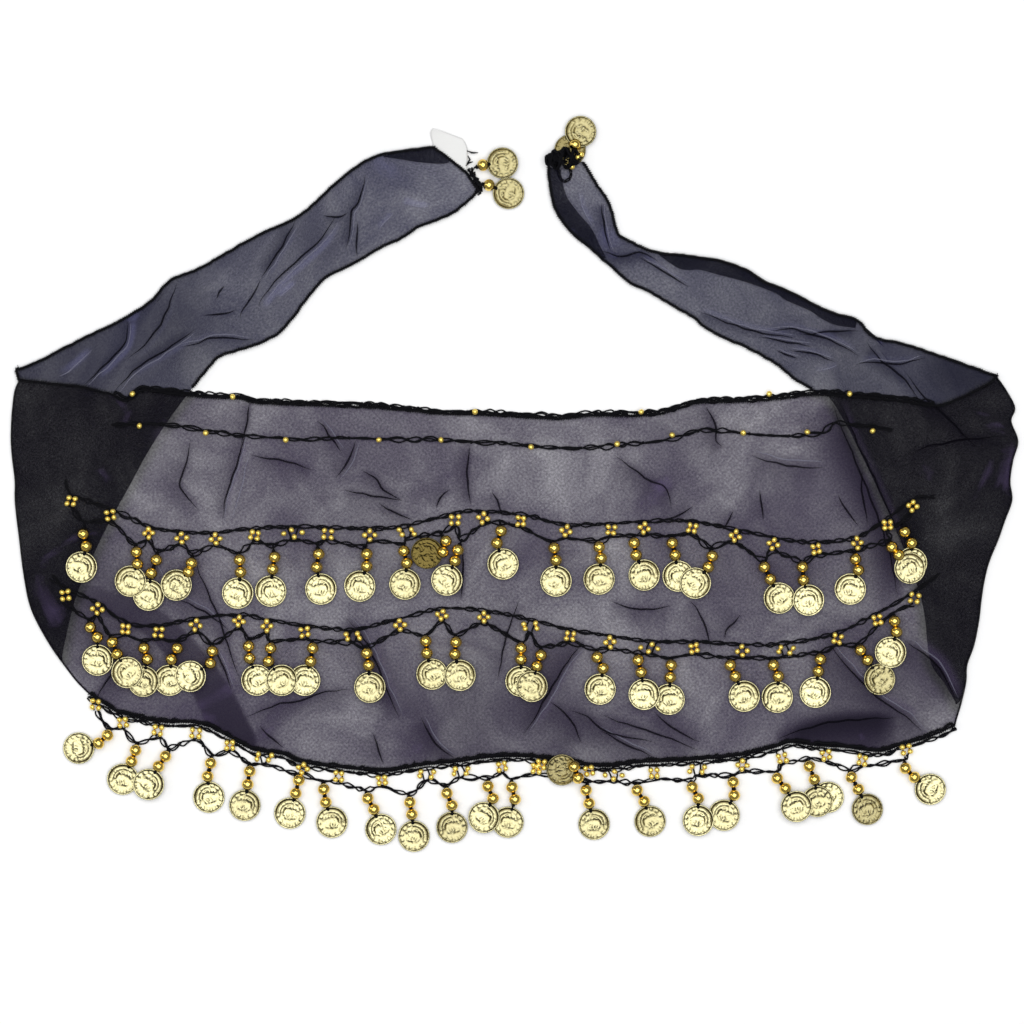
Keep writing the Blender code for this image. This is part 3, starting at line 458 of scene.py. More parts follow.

# %% [markdown]
# ## Creases
#
# A row holds a crease: its places on the chart, its half width and height in millimetres, how much
# it doubles the cloth (dark) and how much painted highlight it gets (pale), from 0 to 1. The height
# runs out at both ends, as a crease in cloth does. The darkness also holds painted shade: it reaches
# further out on the side away from the light than on the side that faces it. A pleat makes the
# cloth denser in a wider place, and some patches make it denser or less dense.

# %% Crease tables
PANEL_CREASES = (
    (((250, 402), (248, 415), (245, 430), (241, 446)), 3, 1.0, 0.5, 0.2),
    (((246, 450), (240, 480), (235, 500), (228, 522)), 4, 0.8, 0.0, 0.45),
    (((190, 440), (188, 460), (180, 485), (200, 510)), 4, 1.0, 0.35, 0.2),
    (((345, 490), (367, 495), (402, 500)), 3, 1.2, 0.4, 0.3),
    (((362, 470), (375, 478), (385, 490), (402, 500)), 3, 1.2, 0.5, 0.3),
    (((378, 503), (395, 512), (413, 520)), 3, 1.2, 0.4, 0.3),
    (((470, 443), (467, 475), (471, 505)), 3, 1.1, 0.6, 0.2),
    (((462, 545), (463, 580), (461, 600)), 2.5, 0.9, 0.5, 0.1),
    (((450, 490), (441, 497), (437, 508)), 3, 1.0, 0.4, 0.2),
    (((492, 492), (498, 503), (503, 515)), 3, 1.0, 0.4, 0.2),
    (((615, 455), (645, 478), (665, 488), (672, 510)), 5, 1.6, 0.5, 0.35),
    (((705, 405), (715, 425), (716, 440), (722, 448)), 3, 1.0, 0.6, 0.2),
    (((750, 455), (785, 465), (825, 468)), 7, 1.6, 0.35, 0.4),
    (((838, 495), (843, 505), (858, 525)), 4, 1.0, 0.5, 0.2),
    (((862, 470), (861, 490), (868, 525)), 4, 1.0, 0.4, 0.2),
    (((760, 490), (762, 505), (763, 520)), 3, 0.8, 0.3, 0.2),
    (((693, 507), (675, 517), (660, 520)), 4, 1.0, 0.4, 0.3),
    (((733, 510), (728, 520), (722, 530)), 3, 0.9, 0.3, 0.2),
    (((197, 555), (200, 575), (213, 603), (218, 615), (240, 680)), 4, 1.2, 0.45, 0.25),
    (((345, 617), (362, 635), (377, 665), (387, 690), (401, 720)), 5, 1.9, 0.75, 0.5),
    (((375, 640), (400, 690), (425, 720)), 6, 1.2, 0.2, 0.35),
    (((420, 717), (437, 745), (455, 758)), 5, 1.8, 0.7, 0.4),
    (((245, 717), (275, 705), (300, 700), (330, 691), (352, 689)), 5, 1.4, 0.45, 0.3),
    (((373, 733), (376, 742), (383, 765)), 4, 1.1, 0.4, 0.2),
    (((260, 725), (268, 735), (283, 748)), 4, 1.1, 0.4, 0.2),
    (((585, 640), (565, 665), (545, 700), (523, 735)), 5, 1.9, 0.75, 0.5),
    (((568, 709), (590, 718), (608, 732), (655, 742)), 5, 1.5, 0.6, 0.35),
    (((600, 715), (660, 735), (700, 750)), 5, 1.3, 0.4, 0.35),
    (((600, 730), (628, 745), (655, 757)), 4, 1.2, 0.5, 0.4),
    (((740, 615), (727, 630), (725, 640)), 4, 1.0, 0.4, 0.2),
    (((825, 640), (850, 670), (880, 700), (905, 715), (925, 735)), 6, 2.0, 0.6, 0.5),
    (((905, 640), (925, 655), (940, 670), (955, 700)), 5, 1.8, 0.6, 0.4),
    (((775, 740), (820, 724), (860, 719), (900, 718)), 9, 1.8, 1.5, 0.2),
    (((831, 400), (842, 430), (856, 464), (869, 494), (882, 530), (892, 565), (899, 602)), 7, 1.4, 1.2, 0.0),
    (((840, 400), (852, 432), (870, 470), (889, 512), (902, 548)), 2.5, 0.6, 0.5, 0.2),
    (((246, 430), (240, 455), (228, 490), (222, 520)), 3, 1.0, 0.5, 0.7),
    (((905, 372), (921, 394), (952, 423), (981, 452)), 4, 0.8, 0.6, 0.0),
    (((906, 455), (930, 446), (965, 440), (1005, 436)), 4, 0.8, 0.5, 0.0),
    (((548, 700), (570, 718), (582, 745)), 7, 1.2, 0.5, 0.2),
    (((655, 712), (675, 730), (700, 742)), 7, 1.2, 0.5, 0.2),
    (((610, 600), (640, 610), (672, 606)), 4, 0.9, 0.35, 0.2),
    (((250, 455), (290, 462), (312, 470)), 3, 1.0, 0.45, 0.35),
    (((318, 420), (330, 436), (342, 452)), 5, 1.0, 0.35, 0.45),
    (((356, 440), (348, 462), (336, 478)), 5, 1.0, 0.4, 0.4),
    (((180, 600), (205, 612), (228, 630)), 5, 1.0, 0.4, 0.5),
    (((206, 640), (220, 660), (232, 690)), 4, 1.0, 0.3, 0.7),
    (((96, 700), (112, 672), (128, 655)), 4, 1.0, 0.5, 0.2),
    (((150, 560), (160, 580), (158, 600)), 5, 0.8, 0.2, 0.5),
    (((520, 600), (505, 640), (498, 680)), 6, 1.0, 0.3, 0.3),
    (((690, 600), (705, 625), (712, 650)), 6, 1.0, 0.3, 0.3),
    (((150, 430), (160, 470), (150, 520)), 8, 0.8, 0.0, 0.3),
    (((300, 610), (310, 650), (300, 690)), 8, 0.9, 0.0, 0.3),
    (((480, 600), (500, 650), (490, 700)), 9, 0.9, 0.0, 0.3),
    (((640, 610), (655, 650), (640, 690)), 8, 0.8, 0.0, 0.3),
)
PLEAT = ((84, 594), (120, 608), (152, 622), (180, 648), (206, 682), (222, 712), (236, 742))
PLEAT_HALF = (8, 18)       # chart steps, at its start and at its end
DENSER_PATCHES = (        # where the panel is made denser: place, reach in chart steps, doubling
    (110, 615, 65, 0.30), (210, 735, 40, 0.15), (890, 700, 65, 0.20), (840, 740, 50, 0.15),
    (850, 620, 60, 0.12), (700, 550, 60, 0.08), (470, 740, 60, 0.08), (610, 745, 60, 0.12),
    (170, 420, 60, 0.08), (690, 420, 45, 0.10), (350, 520, 70, 0.08), (520, 610, 80, 0.05),
    (465, 705, 60, 0.20), (380, 545, 50, 0.10), (560, 720, 50, 0.12), (780, 560, 50, 0.12),
)
TIE_PATCHES = (
    (950, 372, 32, 0.40), (980, 380, 20, 0.30), (170, 330, 45, 0.22), (90, 365, 40, 0.14),
    (320, 240, 30, 0.16), (225, 285, 18, -0.1), (850, 365, 30, 0.10), (625, 258, 20, 0.08),
)
TIE_LEFT_CREASES = (
    (((177, 281), (168, 308), (158, 328), (143, 347), (128, 358)), 3.5, 1.2, 0.6, 0.3),
    (((127, 321), (128, 328), (124, 345), (108, 362), (84, 386)), 4, 1.6, 0.8, 0.7),
    (((196, 328), (180, 341), (158, 355), (140, 366), (114, 392)), 4, 1.6, 0.8, 0.5),
    (((180, 347), (200, 343), (212, 338), (240, 339), (255, 340)), 3.5, 1.2, 0.5, 0.4),
    (((296, 221), (283, 245), (275, 257), (261, 280)), 4, 1.7, 0.8, 0.5),
    (((261, 280), (255, 290), (243, 310), (241, 318)), 4, 1.1, 0.3, 0.3),
    (((338, 214), (322, 238), (300, 259), (280, 277), (262, 299), (259, 310)), 5, 1.6, 0.3, 0.8),
    (((366, 175), (358, 203), (352, 212), (349, 235), (346, 249)), 3.5, 1.4, 0.6, 0.4),
    (((358, 222), (357, 240), (357, 257)), 4, 1.0, 0.3, 0.3),
    (((324, 215), (335, 218), (348, 213)), 3, 1.0, 0.5, 0.3),
    (((203, 315), (228, 313), (236, 309)), 3, 1.0, 0.5, 0.3),
    (((224, 285), (220, 292), (217, 299)), 3, 0.9, 0.4, 0.3),
    (((280, 300), (288, 295), (300, 285)), 5, 0.8, 0.0, 0.9),
    (((400, 205), (412, 209), (430, 212)), 5, 0.9, 0.0, 0.9),
    (((380, 232), (390, 222), (396, 214)), 4, 0.9, 0.0, 0.7),
    (((60, 380), (75, 372), (96, 352)), 5, 0.9, 0.1, 0.7),
)
TIE_RIGHT_CREASES = (
    (((602, 203), (603, 217), (606, 235), (611, 252)), 2.5, 1.2, 0.6, 0.4),
    (((600, 250), (620, 256), (640, 253), (658, 262)), 3, 1.3, 0.8, 0.3),
    (((700, 312), (712, 317), (750, 330), (800, 340)), 3.5, 1.4, 0.6, 0.6),
    (((760, 337), (780, 341), (812, 346)), 3, 1.1, 0.5, 0.4),
    (((790, 351), (810, 353), (835, 361)), 3, 1.2, 0.6, 0.5),
    (((776, 350), (785, 355), (798, 358)), 3, 1.0, 0.4, 0.4),
    (((765, 332), (790, 329), (820, 337), (840, 345), (860, 357)), 3.5, 1.4, 0.7, 0.5),
    (((800, 335), (830, 332), (860, 331)), 3.5, 1.3, 0.9, 0.2),
    (((865, 340), (880, 360), (900, 375), (920, 400)), 6, 1.6, 0.9, 0.2),
    (((855, 365), (873, 362), (900, 364), (925, 358)), 3.5, 1.0, 0.6, 0.4),
    (((815, 375), (828, 372), (840, 368)), 4, 0.9, 0.2, 0.5),
    (((640, 258), (660, 270), (690, 288)), 3.5, 1.1, 0.3, 0.5),
    (((575, 190), (580, 210), (590, 228)), 4, 1.1, 0.1, 0.7),
)


def signed_distance(points, path):
    """Distance of points from a path, positive on its left, and their share along it."""
    best = np.full(len(points), np.inf)
    signed = np.zeros(len(points))
    share = np.zeros(len(points))
    spans = len(path) - 1
    for k, (a, b) in enumerate(zip(path, path[1:])):
        edge = b - a
        if edge @ edge < 1e-12:
            continue
        away = points - a
        t = np.clip(away @ edge / (edge @ edge), 0, 1)
        gap = np.linalg.norm(away - t[:, None] * edge, axis=1)
        side = np.sign(edge[0] * away[:, 1] - edge[1] * away[:, 0])
        closer = gap < best
        best = np.where(closer, gap, best)
        signed = np.where(closer, gap * side, signed)
        share = np.where(closer, (k + t) / spans, share)
    return signed, share


def with_patches(points, dense_and_shade, patches):
    """The doubling with that of the patches added."""
    for x, y, reach, amount in patches:
        away = np.linalg.norm(points - on_chart((x, y)), axis=1) / (reach * STEP)
        dense_and_shade = dense_and_shade + amount * (1 - dense_and_shade) * np.exp(-away ** 2)
    return np.maximum(dense_and_shade, 0)


def creased(points, rows):
    """Height, doubling with painted shade, and painted highlight (paleness) that the creases give to points
    of the cloth.
    """
    height, dense_and_shade, pale = np.zeros(len(points)), np.zeros(len(points)), np.zeros(len(points))
    for places, half, top, dark, light in rows:
        path = smooth_curve(on_chart(places), 4)
        half = half / 1000
        low, high = path.min(axis=0) - 3 * half, path.max(axis=0) + 3 * half
        near = np.all((points > low) & (points < high), axis=1)
        off, share = signed_distance(points[near], path)
        fade = np.clip(np.minimum(share, 1 - share) * 5, 0, 1) ** 0.7
        height[near] = np.maximum(height[near], top / 1000 * fade * np.exp(-(off / half) ** 2))
        # Painted shade: the darkening reaches further out on the side away from the light.
        beside = np.where(off < 0, off / 2.2, off / 0.6) / half
        dense_and_shade[near] = np.maximum(dense_and_shade[near], 0.55 * dark * fade * np.exp(-np.abs(beside) ** 1.5))
        # Painted highlight: a pale band just off the crease, on the side that faces the light.
        in_light = np.exp(-((off - 0.8 * half) / (half * 0.6)) ** 2)
        pale[near] = np.maximum(pale[near], 0.5 * light * fade * in_light)
    return height, dense_and_shade, pale


# %% [markdown]
# Cloth that has been stored folded is never quite flat. A few long shallow waves with fixed
# directions and lengths stand in for that, and stay above the surface that the cloth lies on.

# %% Shallow waves
rng = np.random.default_rng(7)
WAVES = [(rng.uniform(0, pi), rng.uniform(0.018, 0.07), rng.uniform(0, 2 * pi)) for _ in range(9)]
WAVE_HEIGHT = 0.00045


def waved(points):
    total = np.zeros(len(points))
    for heading, length, start in WAVES:
        along = points @ np.array((cos(heading), sin(heading)))
        total += np.sin(2 * pi * along / length + start) * length / 0.07
    return WAVE_HEIGHT * (0.5 + 0.5 * total / np.abs(total).max())


def inside(points, outline):
    """True for points inside an outline."""
    result = np.zeros(len(points), dtype=bool)
    for a, b in zip(outline, np.roll(outline, -1, axis=0)):
        spans = (a[1] > points[:, 1]) != (b[1] > points[:, 1])
        if spans.any():
            crossing = a[0] + (points[:, 1] - a[1]) * (b[0] - a[0]) / (b[1] - a[1] + 1e-12)
            result ^= spans & (points[:, 0] < crossing)
    return result


def eased(values):
    values = np.clip(values, 0, 1)
    return values * values * (3 - 2 * values)


WALL = 0.0006              # the cloth's thickness here
LAYER = 0.0015             # how far the panel is held up by a tie under it
REST_NEAR, REST_FAR = 0.001, 0.008     # past a tie's edge the panel sinks between these distances
ROLL = 0.002               # the folds round off over this distance
PLEAT_HEIGHT, PLEAT_DOUBLING = 0.0012, 0.62
PLEAT_EDGE = 5             # chart steps over which the pleat fades at its sides
# SHEEN is painted sheen: how pale the colour is painted on cloth that has no other cloth under it.
SHEEN = 0.22               # paleness of cloth that has no other cloth under it


def panel_under(points):
    """Height of the panel's underside, its doubling with painted shade, and its painted sheen and highlights
    (paleness).
    """
    lift = np.zeros(len(points))
    for outline in tie_outlines:
        away, _ = signed_distance(points, np.vstack((outline, outline[:1])))
        away = np.where(inside(points, outline), 0, np.abs(away))
        lift = np.maximum(lift, 1 - eased((away - REST_NEAR) / (REST_FAR - REST_NEAR)))
    height, dense_and_shade, pale = creased(points, PANEL_CREASES)
    pleat, share = signed_distance(points, smooth_curve(on_chart(PLEAT), 4))
    first, last = PLEAT_HALF
    doubled = 1 - eased((np.abs(pleat) / STEP - first - (last - first) * share) / PLEAT_EDGE)
    dense_and_shade = np.maximum(dense_and_shade, PLEAT_DOUBLING * doubled * (0.3 + 0.7 * share))
    height = np.maximum(height, PLEAT_HEIGHT * doubled)
    dense_and_shade = with_patches(points, dense_and_shade, DENSER_PATCHES)
    # Painted sheen on cloth that has no other cloth under it, less where the cloth is denser.
    pale = np.maximum(pale, SHEEN * (1 - lift) * (1 - dense_and_shade))
    base = LAYER * lift + np.maximum(height, waved(points))
    edge = np.minimum(*[np.abs(signed_distance(points, fold)[0]) for fold in (left_fold, right_fold)])
    rounding = np.sqrt(1 - (1 - np.clip(edge / ROLL, 0, 1)) ** 2)
    return base * rounding, dense_and_shade, pale


print(len(PANEL_CREASES), "creases in the panel")

# %% [markdown]
# ## The cloth
#
# Each piece of cloth is a closed wall between a fine grid and its copy below. The grid is blended
# from the piece's four edges, so its outline is exact and its rows follow the cloth.

# %% Cloth walls
def blended_grid(top, bottom, left, right, columns, rows):
    """Grid between four edges: top and bottom run left to right, left and right run downwards."""
    u, v = np.linspace(0, 1, columns + 1), np.linspace(0, 1, rows + 1)
    t, b, l, r = at_shares(top, u), at_shares(bottom, u), at_shares(left, v), at_shares(right, v)
    u, v = u[None, :, None], v[:, None, None]
    corners = ((1 - u) * (1 - v) * t[0] + u * (1 - v) * t[-1] + (1 - u) * v * b[0] + u * v * b[-1])
    return (1 - v) * t + v * b + (1 - u) * l[:, None] + u * r[:, None] - corners


def show(name, mesh, material, slot):
    """Links a finished mesh as a piece of the scarf."""
    if not mesh.materials:
        mesh.materials.append(material)
    piece = bpy.data.objects.new(name, mesh)
    bpy.context.scene.collection.objects.link(piece)
    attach(piece, "root")
    return piece


def store(mesh, name, values):
    kind = "FLOAT" if values.ndim == 1 else "FLOAT_VECTOR"
    mesh.attributes.new(name, kind, "POINT").data.foreach_set(
        "value" if values.ndim == 1 else "vector", values.astype(np.float32).ravel())


def cloth_wall(name, grid, under, thread, dense_and_shade, pale, material):
    """Closed wall of cloth on a grid, with its attributes, and its flat area."""
    rows, columns = grid.shape[:2]
    flat = grid.reshape(-1, 2)
    count = len(flat)
    top = np.column_stack((flat, under + WALL))
    bottom = np.column_stack((flat, under))
    index = np.arange(count).reshape(rows, columns)
    quads = np.stack((index[1:, :-1], index[1:, 1:], index[:-1, 1:], index[:-1, :-1]), axis=-1)
    quads = quads.reshape(-1, 4)
    rim = np.concatenate((index[0, :-1], index[:-1, -1], index[-1, :0:-1], index[:0:-1, 0]))
    after = np.roll(rim, -1)
    sides = np.stack((rim, after, after + count, rim + count), axis=-1)
    faces = np.vstack((quads, quads[:, ::-1] + count, sides))
    mesh = bpy.data.meshes.new(name)
    mesh.from_pydata(np.vstack((top, bottom)).tolist(), [], faces.tolist())
    mesh.shade_smooth()
    thread = np.column_stack((thread, np.zeros(count)))
    for key, values in (("dense_and_shade", dense_and_shade), ("pale", pale), ("thread", thread)):
        store(mesh, key, np.concatenate((values, values)))
    made = bmesh.new()
    made.from_mesh(mesh)
    bmesh.ops.recalc_face_normals(made, faces=made.faces)
    made.to_mesh(mesh)
    made.free()
    a, b, c, d = (flat[quads[:, k]] for k in range(4))
    across, down = c - a, d - b
    area = 0.5 * np.abs(across[:, 0] * down[:, 1] - across[:, 1] * down[:, 0]).sum()
    print(name, len(mesh.polygons), "faces,", round(area, 4), "square metres")
    return show(name, mesh, material, "chiffon"), float(area)


grid = blended_grid(waist, hem, left_fold, right_fold, 300, 118)
flat = grid.reshape(-1, 2)
under, dense_and_shade, pale = panel_under(flat)
panel_cloth, panel_area = cloth_wall("panel_cloth", grid, under, flat, dense_and_shade, pale, panel_chiffon)
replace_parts(panel_cloth, "panel")

# %% [markdown]
# The ties are made in the same way, with their threads running along them. A tie is bunched where
# it leaves the fold and flatter at its tip, so it is denser near the fold. Under the panel it lies
# flat, and its creases begin only past the panel's edge, which keeps the two cloths apart.

# %% Tie cloth
BUNCHED = 0.42             # doubling of a tie next to the fold
FREED_FROM, FREED_OVER = 0.002, 0.012  # a tie lies flat as far as this past the panel, then rises


def tie_cloth(name, edges, tip, creases, along, across):
    """A tie with its tip, a grid of cells along and across it."""
    upper, lower, start = edges
    grid = blended_grid(upper, lower, start, np.vstack((upper[-1:], *tip, lower[-1:])), along, across)
    flat = grid.reshape(-1, 2)
    height, dense_and_shade, pale = creased(flat, creases)
    under = np.maximum(height, waved(flat))
    covered = inside(flat, panel_outline)
    edge, _ = signed_distance(flat, waist)
    freed = np.where(covered, 0, eased((np.abs(edge) - FREED_FROM) / FREED_OVER))
    under, dense_and_shade, pale = under * freed, dense_and_shade * freed, pale * freed
    from_fold = np.tile(np.linspace(0, 1, grid.shape[1]), grid.shape[0])
    dense_and_shade = np.maximum(dense_and_shade, np.where(covered, 0.1, BUNCHED * (1 - from_fold)))
    dense_and_shade = with_patches(flat, dense_and_shade, TIE_PATCHES)
    # Painted sheen on tie cloth that the panel leaves bare, less where the cloth is denser.
    pale = np.maximum(pale, np.where(covered, 0, SHEEN * (1 - dense_and_shade) ** 1.5))
    lengths = np.linalg.norm(np.diff(grid, axis=1), axis=2).cumsum(axis=1).mean(axis=0)
    widths = np.linalg.norm(np.diff(grid, axis=0), axis=2).cumsum(axis=0)
    thread = np.zeros(grid.shape)
    thread[:, 1:, 0] = lengths[None]
    thread[1:, :, 1] = widths
    return cloth_wall(name, grid, under, thread.reshape(-1, 2), dense_and_shade, pale, tie_chiffon)


left_tip_bend = on_chart([(467, 173)])
tie_left_cloth, left_area = tie_cloth("tie_left_cloth", left_tie, [left_tip_bend],
                                      TIE_LEFT_CREASES, 190, 70)
tie_right_cloth, right_area = tie_cloth("tie_right_cloth", right_tie, [], TIE_RIGHT_CREASES, 200, 60)
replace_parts(tie_left_cloth, "tie_left")
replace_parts(tie_right_cloth, "tie_right")

# %% [markdown]
# Three edges of the ties are turned over and lie on them, which makes the dark bands there. Each is
# a strip of its own just above the tie, which is simpler than rolling the tie's own edge over. The
# rows give a place on the outer edge and one on the inner edge of each.

# %% Turned-over edges
FLAPS = {
    "tie_left_flap": (
        (383, 156, 384, 157), (402, 152, 400, 159.5), (421, 150.5, 420, 162.5),
        (433, 147.5, 440, 164), (449, 161, 449, 163),
    ),
    "tie_right_lower_flap": (
        (549.5, 168, 561, 170), (550, 178, 562, 180), (551, 193, 567, 197), (560, 218, 579, 214),
        (573, 234, 591, 228), (590, 248, 600, 246), (601, 259, 606, 258),
    ),
    "tie_right_upper_flap": (
        (655, 251, 660, 256), (680, 255, 680, 269), (700, 258, 700, 270), (720, 261, 715, 274),
        (748, 271, 745, 282), (775, 286, 775, 293), (795, 295, 785, 300), (805, 299, 810, 311),
        (820, 308, 820, 318), (838, 315, 835, 325), (857, 320, 855, 328),
    ),
}
FLAP_HEIGHT = 0.0017
FLAP_DOUBLING = 0.15
for name, rows in FLAPS.items():
    rows = np.array(rows, dtype=float)
    outer, inner = smooth_curve(on_chart(rows[:, :2])), smooth_curve(on_chart(rows[:, 2:]))
    grid = blended_grid(outer, inner, np.vstack((outer[:1], inner[:1])),
                        np.vstack((outer[-1:], inner[-1:])), 70, 8)
    flat = grid.reshape(-1, 2)
    none = np.zeros(len(flat))
    flap, _ = cloth_wall(name + "_cloth", grid, none + FLAP_HEIGHT, flat, none + FLAP_DOUBLING, none,
                         tie_chiffon)
    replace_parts(flap, name)

# %% [markdown]
# ## What lies where
#
# Cords, beads and coins rest on the panel, on a tie or on the floor. The height of the highest of
# these is worked out once on a grid of places, and read from that grid afterwards.

# %% Height of the ground
MAP_PITCH = 0.001
map_low, map_high = on_chart((0, 900)), on_chart((1024, 100))


def surface_height(points):
    """Height of the top surface at points, in metres."""
    height = np.zeros(len(points))
    on_panel = inside(points, panel_outline)
    if on_panel.any():
        height[on_panel] = panel_under(points[on_panel])[0] + WALL
    for outline, creases in zip(tie_outlines, (TIE_LEFT_CREASES, TIE_RIGHT_CREASES)):
        bare = inside(points, outline) & ~on_panel
        if bare.any():
            height[bare] = np.maximum(creased(points[bare], creases)[0], waved(points[bare])) + WALL
    return height


map_x, map_y = (np.arange(low, high, MAP_PITCH) for low, high in zip(map_low, map_high))
map_points = np.stack(np.meshgrid(map_x, map_y), axis=-1)
height_map = surface_height(map_points.reshape(-1, 2)).reshape(len(map_y), len(map_x))


def ground(points):
    """Height of the ground at points, read between four places of the grid."""
    spots = (np.asarray(points, dtype=float).reshape(-1, 2) - map_low) / MAP_PITCH
    cell = np.clip(spots.astype(int), 0, (len(map_x) - 2, len(map_y) - 2))
    (x, y), (u, v) = cell.T, np.clip(spots - cell, 0, 1).T
    return ((1 - u) * (1 - v) * height_map[y, x] + u * (1 - v) * height_map[y, x + 1]
            + (1 - u) * v * height_map[y + 1, x] + u * v * height_map[y + 1, x + 1])


def highest_near(points, reach):
    """Height of the highest ground within reach of each point."""
    points = np.asarray(points, dtype=float).reshape(-1, 2)
    around = [(0, 0)] + [(reach * cos(a), reach * sin(a)) for a in np.arange(8) * pi / 4]
    return np.max([ground(points + offset) for offset in around], axis=0)


print("ground at the middle of the panel", ground(on_chart((515, 560))))

# %% [markdown]
# ## Geometry Nodes
#
# Three node trees make everything that repeats. One sets a small piece along a path, as stitches
# and crochet links are. One sets a piece on points that carry their own turn and size, as beads
# and coins are. One makes a thread round a path, which may taper towards both its ends. What a tree
# makes is turned into a plain mesh at once, so that the finished pieces carry no modifiers.

# %% Node trees
THREAD_SIDES = 6
THINNEST = 0.06            # share of its radius that a tapered thread keeps at its ends


def new_tree(name, inputs):
    """Geometry node tree with named inputs, its input node and a function to finish it."""
    tree = bpy.data.node_groups.new(name, "GeometryNodeTree")
    tree.interface.new_socket("Geometry", in_out="INPUT", socket_type="NodeSocketGeometry")
    for label, kind in inputs:
        tree.interface.new_socket(label, in_out="INPUT", socket_type=kind)
    tree.interface.new_socket("Geometry", in_out="OUTPUT", socket_type="NodeSocketGeometry")
    given = tree.nodes.new("NodeGroupInput")

    def finish(geometry):
        painted = add(tree, "GeometryNodeSetMaterial", {},
                      [("Geometry", geometry), ("Material", given.outputs["Material"])])
        result = tree.nodes.new("NodeGroupOutput")
        tree.links.new(painted.outputs[0], result.inputs[0])
        return tree
    return tree, given, finish


def along_path_tree():
    tree, given, finish = new_tree("pieces along a path", (
        ("Piece", "NodeSocketObject"), ("Spacing", "NodeSocketFloat"), ("Roll", "NodeSocketFloat"),
        ("Material", "NodeSocketMaterial")))
    path = add(tree, "GeometryNodeMeshToCurve", {}, [("Mesh", given.outputs["Geometry"])])
    spaced = add(tree, "GeometryNodeResampleCurve", {"mode": "LENGTH"},
                 [("Curve", path.outputs[0]), ("Length", given.outputs["Spacing"])])
    ahead = add(tree, "GeometryNodeInputTangent", {})
    facing = add(tree, "FunctionNodeAlignRotationToVector", {"axis": "X"}, [("Vector", ahead.outputs[0])])
    back = maths(tree, "MULTIPLY", given.outputs["Roll"], -1.0)
    chance = add(tree, "FunctionNodeRandomValue", {"data_type": "FLOAT", "Seed": 3},
                 [(2, back), (3, given.outputs["Roll"])])
    roll = add(tree, "FunctionNodeAxisAngleToRotation", {"Axis": (1, 0, 0)}, [("Angle", chance.outputs[1])])
    turned = add(tree, "FunctionNodeRotateRotation", {"rotation_space": "LOCAL"},
                 [("Rotation", facing.outputs[0]), ("Rotate By", roll.outputs[0])])
    piece = add(tree, "GeometryNodeObjectInfo", {}, [("Object", given.outputs["Piece"])])
    placed = add(tree, "GeometryNodeInstanceOnPoints", {},
                 [("Points", spaced.outputs[0]), ("Instance", piece.outputs["Geometry"]),
                  ("Rotation", turned.outputs[0])])
    real = add(tree, "GeometryNodeRealizeInstances", {}, [("Geometry", placed.outputs[0])])
    return finish(real.outputs[0])


def on_points_tree():
    tree, given, finish = new_tree("pieces on points", (
        ("Piece", "NodeSocketObject"), ("Material", "NodeSocketMaterial")))
    turn = add(tree, "GeometryNodeInputNamedAttribute", {"data_type": "FLOAT_VECTOR", "Name": "turn"})
    size = add(tree, "GeometryNodeInputNamedAttribute", {"data_type": "FLOAT", "Name": "size"})
    facing = add(tree, "FunctionNodeEulerToRotation", {}, [("Euler", turn.outputs[0])])
    piece = add(tree, "GeometryNodeObjectInfo", {}, [("Object", given.outputs["Piece"])])
    placed = add(tree, "GeometryNodeInstanceOnPoints", {},
                 [("Points", given.outputs["Geometry"]), ("Instance", piece.outputs["Geometry"]),
                  ("Rotation", facing.outputs[0]), ("Scale", size.outputs[0])])
    real = add(tree, "GeometryNodeRealizeInstances", {}, [("Geometry", placed.outputs[0])])
    return finish(real.outputs[0])


def thread_tree():
    tree, given, finish = new_tree("thread round a path", (
        ("Radius", "NodeSocketFloat"), ("Taper", "NodeSocketFloat"), ("Material", "NodeSocketMaterial")))
    path = add(tree, "GeometryNodeMeshToCurve", {}, [("Mesh", given.outputs["Geometry"])])
    share = add(tree, "GeometryNodeSplineParameter", {}).outputs["Factor"]
    rise = maths(tree, "SINE", maths(tree, "MULTIPLY", share, pi))
    shaped = maths(tree, "POWER", maths(tree, "MAXIMUM", rise, THINNEST), given.outputs["Taper"])
    thick = maths(tree, "MULTIPLY", shaped, given.outputs["Radius"])
    ring = add(tree, "GeometryNodeCurvePrimitiveCircle", {"Resolution": THREAD_SIDES, "Radius": 1.0})
    tube = add(tree, "GeometryNodeCurveToMesh", {"Fill Caps": True},
               [("Curve", path.outputs[0]), ("Profile Curve", ring.outputs[0]), ("Scale", thick)])
    real = add(tree, "GeometryNodeRealizeInstances", {}, [("Geometry", tube.outputs[0])])
    return finish(real.outputs[0])


along_path, on_points, round_path = along_path_tree(), on_points_tree(), thread_tree()


def grown(name, source, tree, inputs, slot):
    """Runs a tree on a source mesh and shows the plain mesh that it makes."""
    holder = bpy.data.objects.new(name + " source", source)
    bpy.context.scene.collection.objects.link(holder)
    modifier = holder.modifiers.new("make", "NODES")
    modifier.node_group = tree
    for item in tree.interface.items_tree:
        if item.in_out == "INPUT" and item.name in inputs:
            modifier[item.identifier] = inputs[item.name]
    bpy.context.view_layer.update()
    ready = bpy.context.evaluated_depsgraph_get()
    mesh = bpy.data.meshes.new_from_object(holder.evaluated_get(ready), depsgraph=ready)
    holder.modifiers.remove(modifier)
    bpy.data.objects.remove(holder)
    mesh.name = name
    mesh.shade_smooth()
    piece = show(name, mesh, inputs["Material"], slot)
    print(name, len(mesh.polygons), "faces")
    return piece


def path_mesh(paths):
    """Mesh of edges along 3D paths, for the trees to follow."""
    mesh = bpy.data.meshes.new("paths")
    points, edges = [], []
    for path in paths:
        edges += [(len(points) + k, len(points) + k + 1) for k in range(len(path) - 1)]
        points += [tuple(p) for p in path]
    mesh.from_pydata(points, edges, [])
    return mesh


